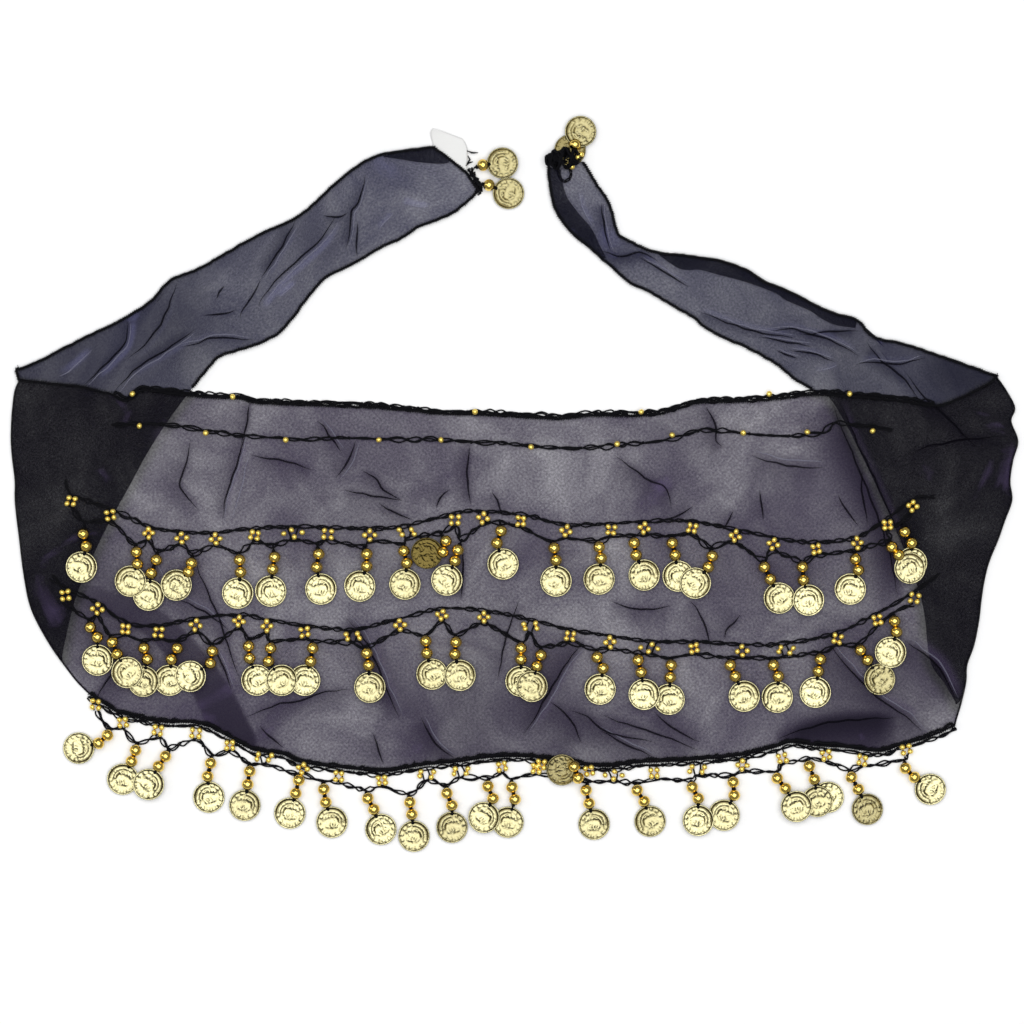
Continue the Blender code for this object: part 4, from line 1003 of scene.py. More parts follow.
def threads(name, paths, radius, taper=0.0, material=thread_black, slot="crochet_cord"):
    """A thread along each of the paths."""
    return grown(name, path_mesh(paths), round_path,
                 {"Radius": radius, "Taper": taper, "Material": material}, slot)


def links(name, paths, part, spacing, roll):
    """Copies of a part along paths, each rolled by chance up to an angle."""
    return grown(name, path_mesh(paths), along_path,
                 {"Piece": part, "Spacing": spacing, "Roll": roll, "Material": thread_black}, "crochet_cord")


def copies(name, part, look, places, turns, sizes=1.0, tones=None):
    """Copies of a part at places, with their turns, sizes and tones. The look is material and slot, and the
    slot is not used.
    """
    mesh = bpy.data.meshes.new("points")
    mesh.from_pydata([tuple(p) for p in places], [], [])
    store(mesh, "turn", np.asarray(turns, dtype=float).reshape(-1, 3))
    store(mesh, "size", np.full(len(places), sizes, dtype=float))
    if tones is not None:
        store(mesh, "tone", np.asarray(tones, dtype=float))
    material, slot = look
    return grown(name, mesh, on_points, {"Piece": part, "Material": material}, slot)


COIN_LOOK, BEAD_LOOK, GLASS_LOOK = ((gold, "gold_plate") for gold in (coin_gold, bead_gold, glass_gold))
KNOT_LOOK = (thread_black, "crochet_cord")
PATH_SPACING = 0.002


def laid(flat_path, radius):
    """3D path of a cord of this radius that lies on the ground along a flat path."""
    flat_path = evenly(np.asarray(flat_path), PATH_SPACING)
    heights = highest_near(flat_path, radius) + radius
    window = np.ones(3) / 3
    smooth = np.convolve(np.pad(heights, 1, mode="edge"), window, mode="valid")
    return np.column_stack((flat_path, np.maximum(heights, smooth)))


# %% [markdown]
# ## Sharp creases
#
# A sharp crease pinches the sheer cloth into a narrow fold, which shows as a thin dark line. Its
# side that faces the light gets a thin pale line, which is a painted highlight. Each is a
# thread-like ridge that tapers off towards both ends and lies half sunk in the cloth. The rows of
# the crease tables say which creases are sharp enough: those that double the cloth or get the most
# painted highlight. A plain one marks each fold of the scarf.

# %% Pinched ridges
RIDGE_RADIUS, RIDGE_HEIGHT = 0.0006, 0.0002
SHARP_FROM, PALE_FROM = 0.3, 0.4
BEND_SPACING, BEND_EVERY, BEND_REACH = 0.0012, 5, 0.0006


def wandering(path, chance):
    """The path with small chance bends, as a crease in soft cloth has them."""
    flat = evenly(path, BEND_SPACING)
    marks = np.arange(0, len(flat) + BEND_EVERY, BEND_EVERY)
    bends = chance.uniform(-BEND_REACH, BEND_REACH, (2, len(marks)))
    return flat + np.stack([np.interp(np.arange(len(flat)), marks, row) for row in bends], axis=1)


def pinches(name, rows, seed):
    """The dark ridges of a crease table, and the pale ridges that are its painted highlights."""
    chance = np.random.default_rng(seed)
    dark, pale = [], []
    for places, half, top, doubled, light in rows:
        path = smooth_curve(on_chart(places), 4)
        if doubled >= SHARP_FROM:
            dark.append(laid(wandering(path, chance), RIDGE_HEIGHT))
        # Painted highlight: a pale strip beside the crease, on its side towards the light.
        if light >= PALE_FROM:
            pale.append(laid(wandering(sideways(path, 0.0005 * half), chance), RIDGE_HEIGHT))
    return [threads(name + "_dark", dark, RIDGE_RADIUS, 1.0, dark_crease, "chiffon"),
            threads(name + "_lit", pale, RIDGE_RADIUS, 1.0, painted_crease_highlight, "chiffon")]


panel_pinches = pinches("panel_creases", PANEL_CREASES, 81)
left_pinches = pinches("tie_left_creases", TIE_LEFT_CREASES, 82)
right_pinches = pinches("tie_right_creases", TIE_RIGHT_CREASES, 83)
fold_paths = [laid(sideways(fold, inwards), RIDGE_HEIGHT)
              for fold, inwards in ((left_fold, 0.0005), (right_fold, -0.0005))]
fold_lines = threads("fold_lines", fold_paths, RIDGE_RADIUS, 0.0, dark_crease, "chiffon")

# %% [markdown]
# ## Small parts that repeat
#
# A stitch is a short slanted bar, a crochet link is a teardrop of thread, and knots and beads are
# flattened balls. They are repeated hundreds of times, so each has only the faces that it needs.

# %% Stitch, link, knot and beads
def stock(name, made):
    """Object that the trees copy, removed once they have run."""
    mesh = bpy.data.meshes.new(name)
    bmesh.ops.recalc_face_normals(made, faces=made.faces)
    made.to_mesh(mesh)
    made.free()
    part = bpy.data.objects.new(name, mesh)
    bpy.context.scene.collection.objects.link(part)
    return part


def stitch_part(length, across, radius):
    """Bar that crosses the edge at a slant, with tapered ends."""
    made = bmesh.new()
    rings = []
    for share in (-1, -0.5, 0.5, 1):
        thick = radius * (0.45 if abs(share) == 1 else 1.0)
        centre = Vector((share * length / 2, share * across / 2, radius * (1 - 0.8 * abs(share))))
        rings.append([made.verts.new(centre + thick * Vector((0.3 * cos(a), cos(a), sin(a))))
                      for a in np.arange(5) * 2 * pi / 5])
    for lower, upper in zip(rings, rings[1:]):
        for k in range(5):
            made.faces.new((lower[k], lower[(k + 1) % 5], upper[(k + 1) % 5], upper[k]))
    made.faces.new(rings[0])
    made.faces.new(rings[-1])
    return stock("stitch", made)


def link_part(length, width, radius):
    """Teardrop loop of thread."""
    made = bmesh.new()
    around, sides = 9, 4
    rings = []
    for k in range(around):
        a = 2 * pi * k / around
        centre = Vector((length / 2 * cos(a), width / 2 * sin(a) * (0.75 + 0.25 * cos(a)), 0))
        outwards = Vector((cos(a), sin(a), 0))
        rings.append([made.verts.new(centre + radius * (outwards * cos(b) + Vector((0, 0, sin(b)))))
                      for b in np.arange(sides) * 2 * pi / sides])
    for k in range(around):
        lower, upper = rings[k], rings[(k + 1) % around]
        for j in range(sides):
            n = (j + 1) % sides
            made.faces.new((lower[j], lower[n], upper[n], upper[j]))
    return stock("link", made)


def round_part(name, radius, segments, rings, squash):
    made = bmesh.new()
    bmesh.ops.create_uvsphere(made, u_segments=segments, v_segments=rings, radius=radius)
    bmesh.ops.scale(made, vec=(1, 1, squash), verts=made.verts)
    return stock(name, made)


BEAD_RADIUS = 0.0039
SMALL_BEAD_RADIUS = 0.0019
KNOT_RADIUS = 0.0016
stitch = stitch_part(0.0024, 0.0026, 0.0006)
link = link_part(0.0040, 0.0021, 0.00048)
bead = round_part("bead", BEAD_RADIUS, 20, 12, 0.94)
small_bead = round_part("small bead", SMALL_BEAD_RADIUS, 10, 6, 0.85)
knot = round_part("knot", KNOT_RADIUS, 7, 5, 0.8)

# %% [markdown]
# ## The coin
#
# A stamped coin is a thin disc with a raised rim, a ring of dots and a design inside. The design
# here is a plain one: two arcs at one side, a ring of dots and short strokes at chance places. The
# relief is a height on a polar grid. The plate turns dark brown where the relief beside a place
# stands higher, which is kept in an attribute. That is tarnish in the hollows, and painted shade as
# well: the relief is sampled a little off to one side, so one side of each raised part darkens, and
# the field among the arcs gets painted shade too. The thin metal is also a little dished, as coins
# are that were punched out of a sheet. Every other coin has the design mirrored, so that the rows
# look less alike.

# %% Coin mesh
COIN_RADIUS = 0.0100
COIN_THICK = 0.0008
RIM_WIDTH = 0.0007
DISH = 0.0003
DOT_RING, DOT_COUNT, DOT_RADIUS = 0.0076, 13, 0.0009
ARCS = (0.0052, 0.0070)                   # their radii
ARC_FROM, ARC_TO = -0.5, 1.7              # the angles between which they lie
STROKES = np.random.default_rng(12).uniform(-1, 1, (11, 4))     # place, heading and length
STROKES_OVER = (0.0040, 0.0044)           # how far from the middle they reach, across and up
RELIEF = 0.00034
COIN_AROUND, COIN_RINGS = 88, 20


def engraving(x, y):
    """Height of the design, from 0 in the field to 1 on its highest places, and where the arcs are."""
    r, angle = np.hypot(x, y), np.arctan2(y, x)
    height = eased((r - (COIN_RADIUS - RIM_WIDTH * 1.5)) / (RIM_WIDTH * 0.7))
    fade = eased((angle - ARC_FROM) * 3) * eased((ARC_TO - angle) * 3)
    for arc in ARCS:
        height = np.maximum(height, fade * np.exp(-((r - arc) / 0.0005) ** 2))
    nearest = np.round(angle / (2 * pi / DOT_COUNT)) * 2 * pi / DOT_COUNT
    dot = np.hypot(x - DOT_RING * np.cos(nearest), y - DOT_RING * np.sin(nearest))
    height = np.maximum(height, (1 - fade) * np.clip(1.3 - dot / DOT_RADIUS, 0, 1))
    for across, up, heading, length in STROKES:
        a = pi * heading
        dx, dy = x - STROKES_OVER[0] * across, y - STROKES_OVER[1] * up
        along = dx * cos(a) + dy * sin(a)
        aside = -dx * sin(a) + dy * cos(a)
        reach = 0.0013 + 0.0006 * length
        height = np.maximum(height, 0.9 * np.exp(-(along / reach) ** 4 - (aside / 0.0006) ** 2))
    return height, fade * (r > 0.0035)


def coin_part(name, side):
    """Coin with its relief on top and a plain back. A side of -1 mirrors the design."""
    around = COIN_AROUND
    angles = np.arange(around) * 2 * pi / around
    radii = np.append(np.linspace(0, COIN_RADIUS - RIM_WIDTH * 1.5, COIN_RINGS)[1:],
                      COIN_RADIUS - RIM_WIDTH * np.array((1.1, 0.7, 0.15, 0)))
    x = np.append(0, radii[:, None] * np.cos(angles))
    y = np.append(0, radii[:, None] * np.sin(angles))
    height, among_arcs = engraving(side * x, y)
    # Painted shade: the relief around each place is sampled a little off to one side, so one side of each
    # raised part comes out darker.
    around_it = [engraving(side * x + 0.0008 * cos(a) + 0.0003, y + 0.0008 * sin(a) + 0.0002)[0]
                 for a in np.arange(8) * pi / 4]
    hollow_and_shade = 3.0 * (np.mean(around_it, axis=0) - height)
    # Tarnish in the hollows, with painted shade on one side of the relief and over the field among the arcs.
    tarnish_and_shade = np.clip(hollow_and_shade + 0.02 + 0.45 * among_arcs * (1 - height), 0, 1)
    z = COIN_THICK / 2 + height * RELIEF + DISH * (x ** 2 + y ** 2) / COIN_RADIUS ** 2
    z[-around:] = COIN_THICK / 2 + DISH
    count = len(x)
    back = np.column_stack((x[-around:], y[-around:], np.full(around, -COIN_THICK / 2 + DISH)))
    points = np.vstack((np.column_stack((x, y, z)), back, (0, 0, -COIN_THICK / 2)))
    ring = 1 + np.arange(count - 1 + around).reshape(-1, around)
    after = np.roll(ring, -1, axis=1)
    faces = [(0, int(a), int(b)) for a, b in zip(ring[0], after[0])]
    faces += np.stack((ring[:-1], ring[1:], after[1:], after[:-1]), axis=-1).reshape(-1, 4).tolist()
    faces += [(int(b), int(a), len(points) - 1) for a, b in zip(ring[-1], after[-1])]
    mesh = bpy.data.meshes.new(name)
    mesh.from_pydata(points.tolist(), [], faces)
    store(mesh, "tarnish_and_shade", np.concatenate((tarnish_and_shade, np.full(around + 1, 0.3))))
    part = bpy.data.objects.new(name, mesh)
    bpy.context.scene.collection.objects.link(part)
    return part


coin = coin_part("coin", 1)
coin_mirrored = coin_part("coin, mirrored", -1)
print("a coin has", len(coin.data.polygons), "faces")

# %% [markdown]
# ## Sewn edges
#
# An overlocked edge has stitches over it all the way round, which pull the cloth into a thick roll.
# The roll is a cord along the edge, and the slanted stitches lie over it. The sewn path wavers a
# little from side to side, since a perfectly even edge would look like piping.

# %% Overlocked edges
STITCH_SPACING = 0.0015
ABOVE_EDGE = 0.0006            # how much higher than the ground the roll lies


def overlocked(name, edges, radius, uneven):
    """Core and stitches along edges, which waver from side to side by up to "uneven"."""
    chance = np.random.default_rng(71)
    paths = []
    for edge in edges:
        flat = evenly(edge, PATH_SPACING)
        side = chance.uniform(-uneven, uneven, (len(flat), 2))
        paths.append(laid(flat + side, radius) + (0, 0, ABOVE_EDGE))
    return [threads(name + "_core", paths, radius),
            links(name + "_stitches", paths, stitch, STITCH_SPACING, 0.35)]


panel_edging = overlocked("panel_edge", [sideways(waist, -0.0004), sideways(hem, 0.0006)], 0.0006, 0.0003)
hem_band = overlocked("hem_band", [sideways(hem, 0.0020)], 0.0008, 0.0009)
left_free = [left_tie[0], left_tie[1][left_tie[1][:, 1] > on_chart((0, 389))[1]]]
right_free = [right_tie[0], right_tie[1][right_tie[1][:, 1] > on_chart((0, 391))[1]]]
left_corner = on_chart([(19, 367.5), (17, 370), (17, 374), (19.5, 380)])
left_tip = on_chart([(433, 147), (467, 173), (478, 190)])
left_edges = [sideways(left_free[0], -0.0003), left_free[1], left_tip, left_corner]
left_edging = overlocked("tie_left_edge", left_edges, 0.0008, 0.0003)
right_edging = overlocked("tie_right_edge", right_free, 0.0008, 0.0003)

# %% [markdown]
# ## Crochet
#
# The bands are loose crochet: three thin strands that cross again and again and leave open loops
# between the crossings, with a knot now and then. Real crochet is one thread pulled through its own
# loops, but at this size only the crossings and the openings show. Two strands swing from side to
# side of the band's path, each the other way from its partner, and the third wanders between them.

# %% Chains
STRAND_RADIUS = 0.0005
STRAND_STEP = 0.0007           # the paths are worked out at this spacing, and every other point kept
CORD_RADIUS = 0.0009
# How the three strands start, and how far they swing
STRANDS = ((0, 1), (pi, 1), (0.6, 0.5))


def drifting(length, step, low, high, chance):
    """Smooth chance values along a length."""
    marks = np.arange(0, length[-1] + 2 * step, step)
    return np.interp(length, marks, chance.uniform(low, high, len(marks)))


def strands(flat_path, pitch, reach, chance):
    """Paths of strands that cross along a flat path, and the places where they cross."""
    points = evenly(np.asarray(flat_path), STRAND_STEP)
    ahead = np.gradient(points, axis=0)
    ahead /= np.linalg.norm(ahead, axis=1)[:, None]
    aside = np.stack((-ahead[:, 1], ahead[:, 0]), axis=1)
    length = STRAND_STEP * np.arange(len(points))
    turn = pi * length / pitch + drifting(length, pitch * 1.7, -0.9, 0.9, chance)
    swing = reach * drifting(length, pitch * 1.3, 0.3, 1.2, chance)
    made = []
    for k, (start, share) in enumerate(STRANDS):
        wander = reach * drifting(length, 0.006, -0.4, 0.4, chance)
        off = swing * np.sin(turn + start) * share + wander
        forth = 0.35 * swing * np.cos(1.7 * turn + k)
        flat = (points + aside * off[:, None] + ahead * forth[:, None])[::2]
        over = STRAND_RADIUS * (1 + 0.9 * np.cos(turn[::2] + k * pi))
        made.append(np.column_stack((flat, highest_near(flat, STRAND_RADIUS) + over + STRAND_RADIUS * 0.3)))
    crossings = np.flatnonzero(np.diff(np.sign(np.sin(turn))))
    return made, points[crossings]


def chained(name, flat_paths, seed, reach=0.0019, pitch=0.0085, knots=0.55):
    """Loose crochet along flat paths: crossing strands, and knots at some of the crossings."""
    chance = np.random.default_rng(seed)
    paths, tied = [], []
    for flat_path in flat_paths:
        made, crossings = strands(flat_path, pitch, reach, chance)
        paths += made
        tied += [spot for spot in crossings if chance.random() < knots]
    cords = threads(name + "_strands", paths, STRAND_RADIUS)
    tied = np.array(tied)
    places = np.column_stack((tied, highest_near(tied, 0.001) + STRAND_RADIUS * 1.6))
    turns = chance.uniform(0, pi, (len(tied), 3))
    copies(name + "_ties", knot, KNOT_LOOK, places, turns, chance.uniform(0.5, 0.85, len(tied)))
    return cords


CHAIN = (
    (112, 425), (140, 424), (170, 425), (200, 430), (240, 435), (280, 438), (300, 440), (340, 438),
    (380, 439), (440, 440), (470, 442), (500, 443), (530, 446), (560, 448), (600, 447), (640, 443),
    (670, 440), (690, 433), (710, 430), (740, 433), (780, 436), (820, 433), (835, 423), (850, 424),
    (880, 428), (893, 430),
)
crochet_from, crochet_to = on_chart([(113, 0), (936, 0)])[:, 0]
waist_crochet = sideways(waist, 0.0016)
waist_crochet = waist_crochet[(waist_crochet[:, 0] > crochet_from) & (waist_crochet[:, 0] < crochet_to)]
waist_paths = [waist_crochet, sideways(waist_crochet, -0.0012)]
waist_strands = chained("waist_crochet", waist_paths, 11, reach=0.0015)
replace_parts(waist_strands, "waist_cord")
chain_strands = chained("panel_chain", [smooth_curve(on_chart(CHAIN))], 21, reach=0.0016, pitch=0.011)
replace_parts(chain_strands, "panel_chain")

# %% [markdown]
# ## Rows of coins
#
# A line for each repeat of the crochet gives the bead cluster, the chain's low point, the upper
# bead, the lower bead and the coin, each across and down on the chart. Then comes how many coins it
# lies on, how dark the coin is, and how far it tilts to one side, in degrees. The ends of a row are
# where its upper chain starts and stops, and its last cluster.

# %% Row tables
ROW_1 = (
    (72, 501, 85, 522, 84, 534, 87, 546, 82, 567, 0, 0.0, 0),
    (111, 515, 136, 545, 137, 552, 138, 564, 131, 581, 1, 0.1, 3),
    (149, 533, 158, 551, 157, 560, 152, 573, 149, 595, 0, 0.1, 0),
    (182, 538, 193, 553, 192, 563, 189, 572, 177, 585, 1, 0.15, -4),
    (216, 539, 238, 553, 240, 560, 241, 572, 238, 593, 0, 0.0, 2),
    (255, 535, 273, 545, 275, 557, 273, 569, 271, 591, 0, 0.0, -2),
    (293, 533, 317, 543, 319, 554, 317, 567, 321, 589, 0, 0.0, 2),
    (328, 534, 363, 547, 367, 554, 367, 566, 360, 586, 0, 0.05, -3),
    (370, 535, 403, 543, 404, 551, 407, 563, 405, 584, 0, 0.0, 2),
    (407, 532, 440, 533, 446, 541, 443, 552, 427, 553, 0, 0.75, 9),
    (455, 520, 462, 539, 458, 550, 455, 561, 447, 580, 1, 0.0, -2),
    (483, 518, 500, 522, 501, 531, 497, 543, 503, 564, 0, 0.0, 2),
    (521, 521, 551, 541, 554, 548, 556, 560, 556, 581, 0, 0.0, 0),
    (566, 531, 598, 541, 599, 547, 601, 558, 599, 579, 0, 0.1, 0),
    (611, 530, 633, 536, 634, 543, 636, 555, 644, 575, 0, 0.15, 3),
    (644, 528, 672, 536, 672, 543, 675, 555, 678, 576, 0, 0.05, -2),
    (692, 528, 710, 547, 712, 556, 708, 567, 695, 583, 1, 0.0, 2),
    (735, 536, 762, 560, 764, 567, 770, 579, 779, 598, 0, 0.0, 0),
    (773, 544, 801, 561, 802, 567, 803, 580, 808, 600, 1, 0.0, 2),
    (816, 549, 854, 551, 855, 559, 858, 570, 850, 589, 0, 0.1, -3),
    (857, 543, 889, 540, 891, 547, 898, 555, 909, 568, 1, 0.2, 3),
    (887, 525, 903, 521, 904, 532, 911, 543, 911, 563, 0, 0.1, 0),
)
ROW_1_ENDS = ((66, 480), (935, 497), (912, 506))
ROW_2 = (
    (66, 595, 89, 620, 91, 627, 98, 637, 98, 660, 0, 0.0, 0),
    (98, 609, 110, 635, 113, 642, 118, 654, 128, 672, 2, 0.1, 3),
    (126, 629, 142, 640.5, 144.5, 648, 148, 659, 144, 681, 1, 0.2, -2),
    (159, 632, 178, 641, 178, 648, 172, 659, 170, 680, 0, 0.1, 2),
    (196, 625, 213, 644, 213, 651, 211, 663, 191, 676, 1, 0.0, -3),
    (239, 621, 249, 639, 249, 646, 250, 658, 257, 680, 0, 0.0, 0),
    (267, 626, 271, 641, 271, 648, 269, 661, 282, 680, 1, 0.1, 3),
    (305, 632, 312, 641, 313, 648, 311, 661, 305, 680, 0, 0.0, -2),
    (353, 636, 366, 647, 367, 653, 369, 665, 370, 687, 0, 0.0, 2),
    (400, 625, 425, 635, 426, 641, 427, 653, 432, 674, 0, 0.0, 0),
    (442, 615, 456, 635, 456, 642, 455, 654, 460, 675, 1, 0.1, 2),
    (484, 617, 521, 642, 521, 648, 521, 659, 521, 681, 0, 0.0, 0),
    (530, 626, 541, 647, 541, 655, 537, 666, 532, 686, 1, 0.15, -2),
    (570, 636, 597, 650, 597, 657, 603, 668, 600, 689, 0, 0.0, 2),
    (610, 642, 637, 653, 638, 660, 641, 672, 644, 694, 1, 0.0, 0),
    (650, 648, 671, 658, 671, 665, 670, 677, 669, 699, 0, 0.1, -2),
    (694, 648, 729, 658, 730, 665, 735, 676, 744, 696, 0, 0.0, 0),
    (742, 651, 771, 658, 773, 665, 778, 676, 777, 697, 0, 0.0, 2),
    (785, 650, 820, 652, 820, 659, 818, 671, 815, 692, 0, 0.0, -2),
    (837, 639, 858, 644, 860, 650, 867, 660, 879, 679, 0, 0.5, 4),
    (877, 620, 893, 613, 894, 621, 896, 632, 890, 652, 1, 0.15, -4),
)
ROW_2_ENDS = ((52, 577), (940, 573), (914, 598))
HEM_ROW = (
    (96, 704, 109, 728, 108, 735, 99, 743, 79, 748, 0, 0.0, 0),
    (123, 722, 137, 743, 136, 750, 132, 761, 123, 779, 0, 0.0, 2),
    (158, 730, 170, 748, 166, 756, 159, 766, 149, 784, 1, 0.0, -2),
    (196, 733, 212, 755, 211, 763, 208, 776, 209, 797, 0, 0.0, 0),
    (230, 745, 249, 763, 250, 771, 248, 784, 245, 805, 0, 0.2, 2),
    (264, 757, 294, 773, 299, 780, 296, 793, 290, 813, 0, 0.0, 0),
    (303, 768, 323, 781, 324, 789, 326, 802, 332, 822, 0, 0.1, 2),
    (339, 776, 366, 790, 368, 798, 374, 809, 381, 829, 0, 0.0, -2),
    (382, 780, 409, 794, 410, 802, 412, 814, 414, 836, 0, 0.0, 0),
    (426, 774, 446, 785, 447, 793, 452, 805, 452, 827, 0, 0.15, 2),
    (461, 771, 488, 778, 488, 786, 493, 798, 484, 817, 1, 0.0, -2),
    (502, 766, 511, 779, 512, 787, 515, 799, 508, 822, 0, 0.1, 2),
    (536, 768, 588, 781, 586, 790, 589, 803, 594, 824, 0, 0.15, 0),
    (614, 775, 636, 783, 637, 790, 644, 801, 650, 821, 0, 0.2, 0),
    (654, 773, 691, 780, 692, 787, 698, 798, 698, 820, 1, 0.0, 2),
    (697, 769, 733, 775, 733, 782, 734, 795, 724, 815, 0, 0.1, -2),
    (742, 765, 776, 771, 777, 778, 785, 788, 796, 806, 2, 0.0, 0),
    (782, 758, 807, 759, 809, 766, 814, 779, 817, 801, 1, 0.1, 2),
    (826, 755, 849, 769, 851, 777, 858, 789, 867, 809, 0, 0.6, 3),
    (862, 760, 904, 760, 905, 768, 914, 777, 930, 789, 0, 0.1, -3),
)
HEM_ROW_LAST = (906, 749)
HEM_TURNED_UP = (536, 768, 588, 781, 578, 777.5, 574, 766, 562, 769.5, 0, 0.75, 6)
HEM_SECOND_COIN = ((814, 779), (828, 797))
CLUSTER_REACH = 6.5            # chart steps from a cluster's middle to the chains

# %% [markdown]
# A pendant is built from its line: two beads on a black thread with a knot between them, and a
# coin that hangs from a knot at its hole. The coin lies almost flat. Its threaded side rests a
# little higher, and a coin that lies on its neighbours is higher still.

# %% Pendants
COIN_RISE = 0.0011             # a coin's threaded edge lies this much above its free edge
COIN_LAYER = 0.0017            # a coin that lies on its neighbour is this much higher
COIN_CLEAR = 0.0002
HOLE_SHARE = 0.86              # the hole's place, as a share of the coin's radius
BEAD_HEIGHT = 0.94             # a bead's half height, as a share of its radius
THREAD_POINTS = 14
THREAD_RADIUS = 0.0006


class Pendants:
    """Collects the beads, coins, knots and threads of a row, then makes them."""

    def __init__(self, name):
        self.name = name
        self.beads, self.coins, self.knots, self.threads = [], [], [], []

    def coin_at(self, hung_from, middle, layer, tone, tilt):
        """Lays a coin that hangs from a place, and gives the place of its hole."""
        away = (middle - hung_from) / np.linalg.norm(middle - hung_from)
        aside = np.array((-away[1], away[0]))
        rim = np.vstack([middle + COIN_RADIUS * (cos(a) * away + sin(a) * aside)
                         for a in np.arange(12) * pi / 6])
        base = highest_near(np.vstack((rim, middle)), 0.001).max() + COIN_LAYER * layer
        lean = COIN_RISE / (2 * COIN_RADIUS)
        side = radians(tilt)
        up = base + COIN_THICK / 2 + COIN_RADIUS * (lean + abs(side)) + COIN_CLEAR
        heading = atan2(-away[1], -away[0]) - pi / 2
        turn = (Matrix.Rotation(heading, 3, "Z") @ Matrix.Rotation(lean, 3, "X")
                @ Matrix.Rotation(side, 3, "Y"))
        place = np.array((*middle, up))
        self.coins.append((place, turn.to_euler(), tone))
        hole = place + np.array(turn @ Vector((0, COIN_RADIUS * HOLE_SHARE, COIN_THICK)))
        self.knots.append((hole, 0.8))
        return hole

    def pendant(self, root, line, lift=0.0):
        """Adds the pendant of one line of a table. Its beads may be lifted to lie on its own coin."""
        spots = on_chart([line[0:2], line[2:4]])
        if line[0:2] == line[2:4]:
            spots = spots[:1]
        heights = highest_near(spots, BEAD_RADIUS * 0.7) + BEAD_RADIUS * BEAD_HEIGHT + lift
        beads = [np.array((*spot, z)) for spot, z in zip(spots, heights)]
        hole = self.coin_at(spots[-1], on_chart(line[4:6]), line[6], line[7], line[8])
        path = [root] + beads + [hole]
        for k, place in enumerate(beads):
            ahead = path[k + 2] - path[k]
            self.beads.append((place, (pi / 2, 0, atan2(ahead[1], ahead[0]) + pi / 2)))
            before = place + (path[k] - place) * min(1, BEAD_RADIUS / np.linalg.norm(path[k] - place))
            self.knots.append((before, 1.0))
        end = beads[-1] + (hole - beads[-1]) * min(1, BEAD_RADIUS / np.linalg.norm(hole - beads[-1]))
        self.knots.append((end, 0.85))
        self.threads.append(at_shares(np.array(path), np.linspace(0, 1, THREAD_POINTS)))

    def make(self):
        """Shows everything that was collected, and gives the piece of the coins."""
        copies(self.name + "_beads", bead, BEAD_LOOK, *zip(*self.beads))
        made = []
        for label, part, rows in (("_coins", coin, self.coins[::2]),
                                  ("_more_coins", coin_mirrored, self.coins[1::2])):
            if rows:
                places, turns, tones = zip(*rows)
                # Each coin is darkened by its tone from the table plus a chance amount.
                toned = np.array(tones) + np.random.default_rng(6).uniform(0, 0.3, len(tones))
                made.append(copies(self.name + label, part, COIN_LOOK, places, turns,
                                   tones=np.clip(toned, 0, 1)))
        places, sizes = zip(*self.knots)
        turns = np.random.default_rng(5).uniform(0, 3, (len(places), 3))
        copies(self.name + "_knots", knot, KNOT_LOOK, places, turns, sizes)
        threads(self.name + "_threads", self.threads, THREAD_RADIUS)
        return made[0]


# %% [markdown]
# A cluster of four small beads sits between the upper and the lower chain at each repeat: two
# beads on each of two threads. The rows on the panel have many of them turned to a diamond, and
# some clusters are pulled wide. Each has its own chance turn, from a fixed seed.

# %% Coin rows
CLUSTER_SPREAD = 0.0027
WIDE_SPREAD = 2.0
WIDE_CLUSTERS = (293, 407, 353, 530, 650, 785, 264, 426, 461, 614, 697)       # chart places across
WIDE_ACROSS = on_chart([(x, 0) for x in WIDE_CLUSTERS])[:, 0]


def clusters_of_beads(name, centres, seed, diamonds):
    """Four small beads round each centre. The share "diamonds" of them stands on a corner."""
    chance = np.random.default_rng(seed)
    places, turns = [], []
    for centre in centres:
        first = (0 if chance.random() < diamonds else pi / 4) + chance.uniform(-0.25, 0.25)
        wide = chance.uniform(0.9, 1.15)
        if np.abs(WIDE_ACROSS - centre[0]).min() < STEP:
            wide = WIDE_SPREAD
        for k in range(4):
            a = first + k * pi / 2
            reach = CLUSTER_SPREAD * chance.uniform(0.9, 1.15)
            spot = centre + reach * np.array((wide * cos(a), sin(a) / wide ** 0.3))
            places.append((*spot, highest_near(spot, SMALL_BEAD_RADIUS)[0] + SMALL_BEAD_RADIUS + 0.0004))
            turns.append(chance.uniform(0, pi, 3))
    copies(name + "_small_beads", small_bead, GLASS_LOOK, places, turns)


STRUT_APART = 0.0022


def nearest_on(curve, spot):
    return curve[np.argmin(np.linalg.norm(curve - spot, axis=1))]


def coin_row(name, rows, last, upper, seed, diamonds, extra=None, more=()):
    """A whole band: chains, clusters and pendants, named as its solid is."""
    reach = CLUSTER_REACH * STEP
    clusters = on_chart([row[:2] for row in rows] + [last])
    lower = [clusters[0] - (0, reach)]
    pendants = Pendants(name)
    for row, cluster in zip(rows, clusters[1:]):
        root = on_chart(row[2:4])
        lower += [root, cluster - (0, reach)]
        start = np.array((*root, highest_near(root, CORD_RADIUS)[0] + CORD_RADIUS))
        pendants.pendant(start, row[4:])
    struts = []
    for spot in clusters:
        for side in (-STRUT_APART, STRUT_APART):
            beside = spot + (side, 0)
            post = np.array((nearest_on(upper, beside), beside, spot + (side * 0.5, -reach)))
            struts.append(laid(smooth_curve(post), STRAND_RADIUS))
    chained(name + "_upper", [upper], seed, reach=0.0013)
    chained(name + "_lower", [smooth_curve(np.array(lower))], seed + 1, reach=0.0016, knots=0.35)
    threads(name + "_struts", struts, STRAND_RADIUS)
    clusters_of_beads(name, np.vstack([clusters] + [on_chart([spot]) for spot in more]), seed, diamonds)
    if extra:
        extra(pendants)
    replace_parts(pendants.make(), name)


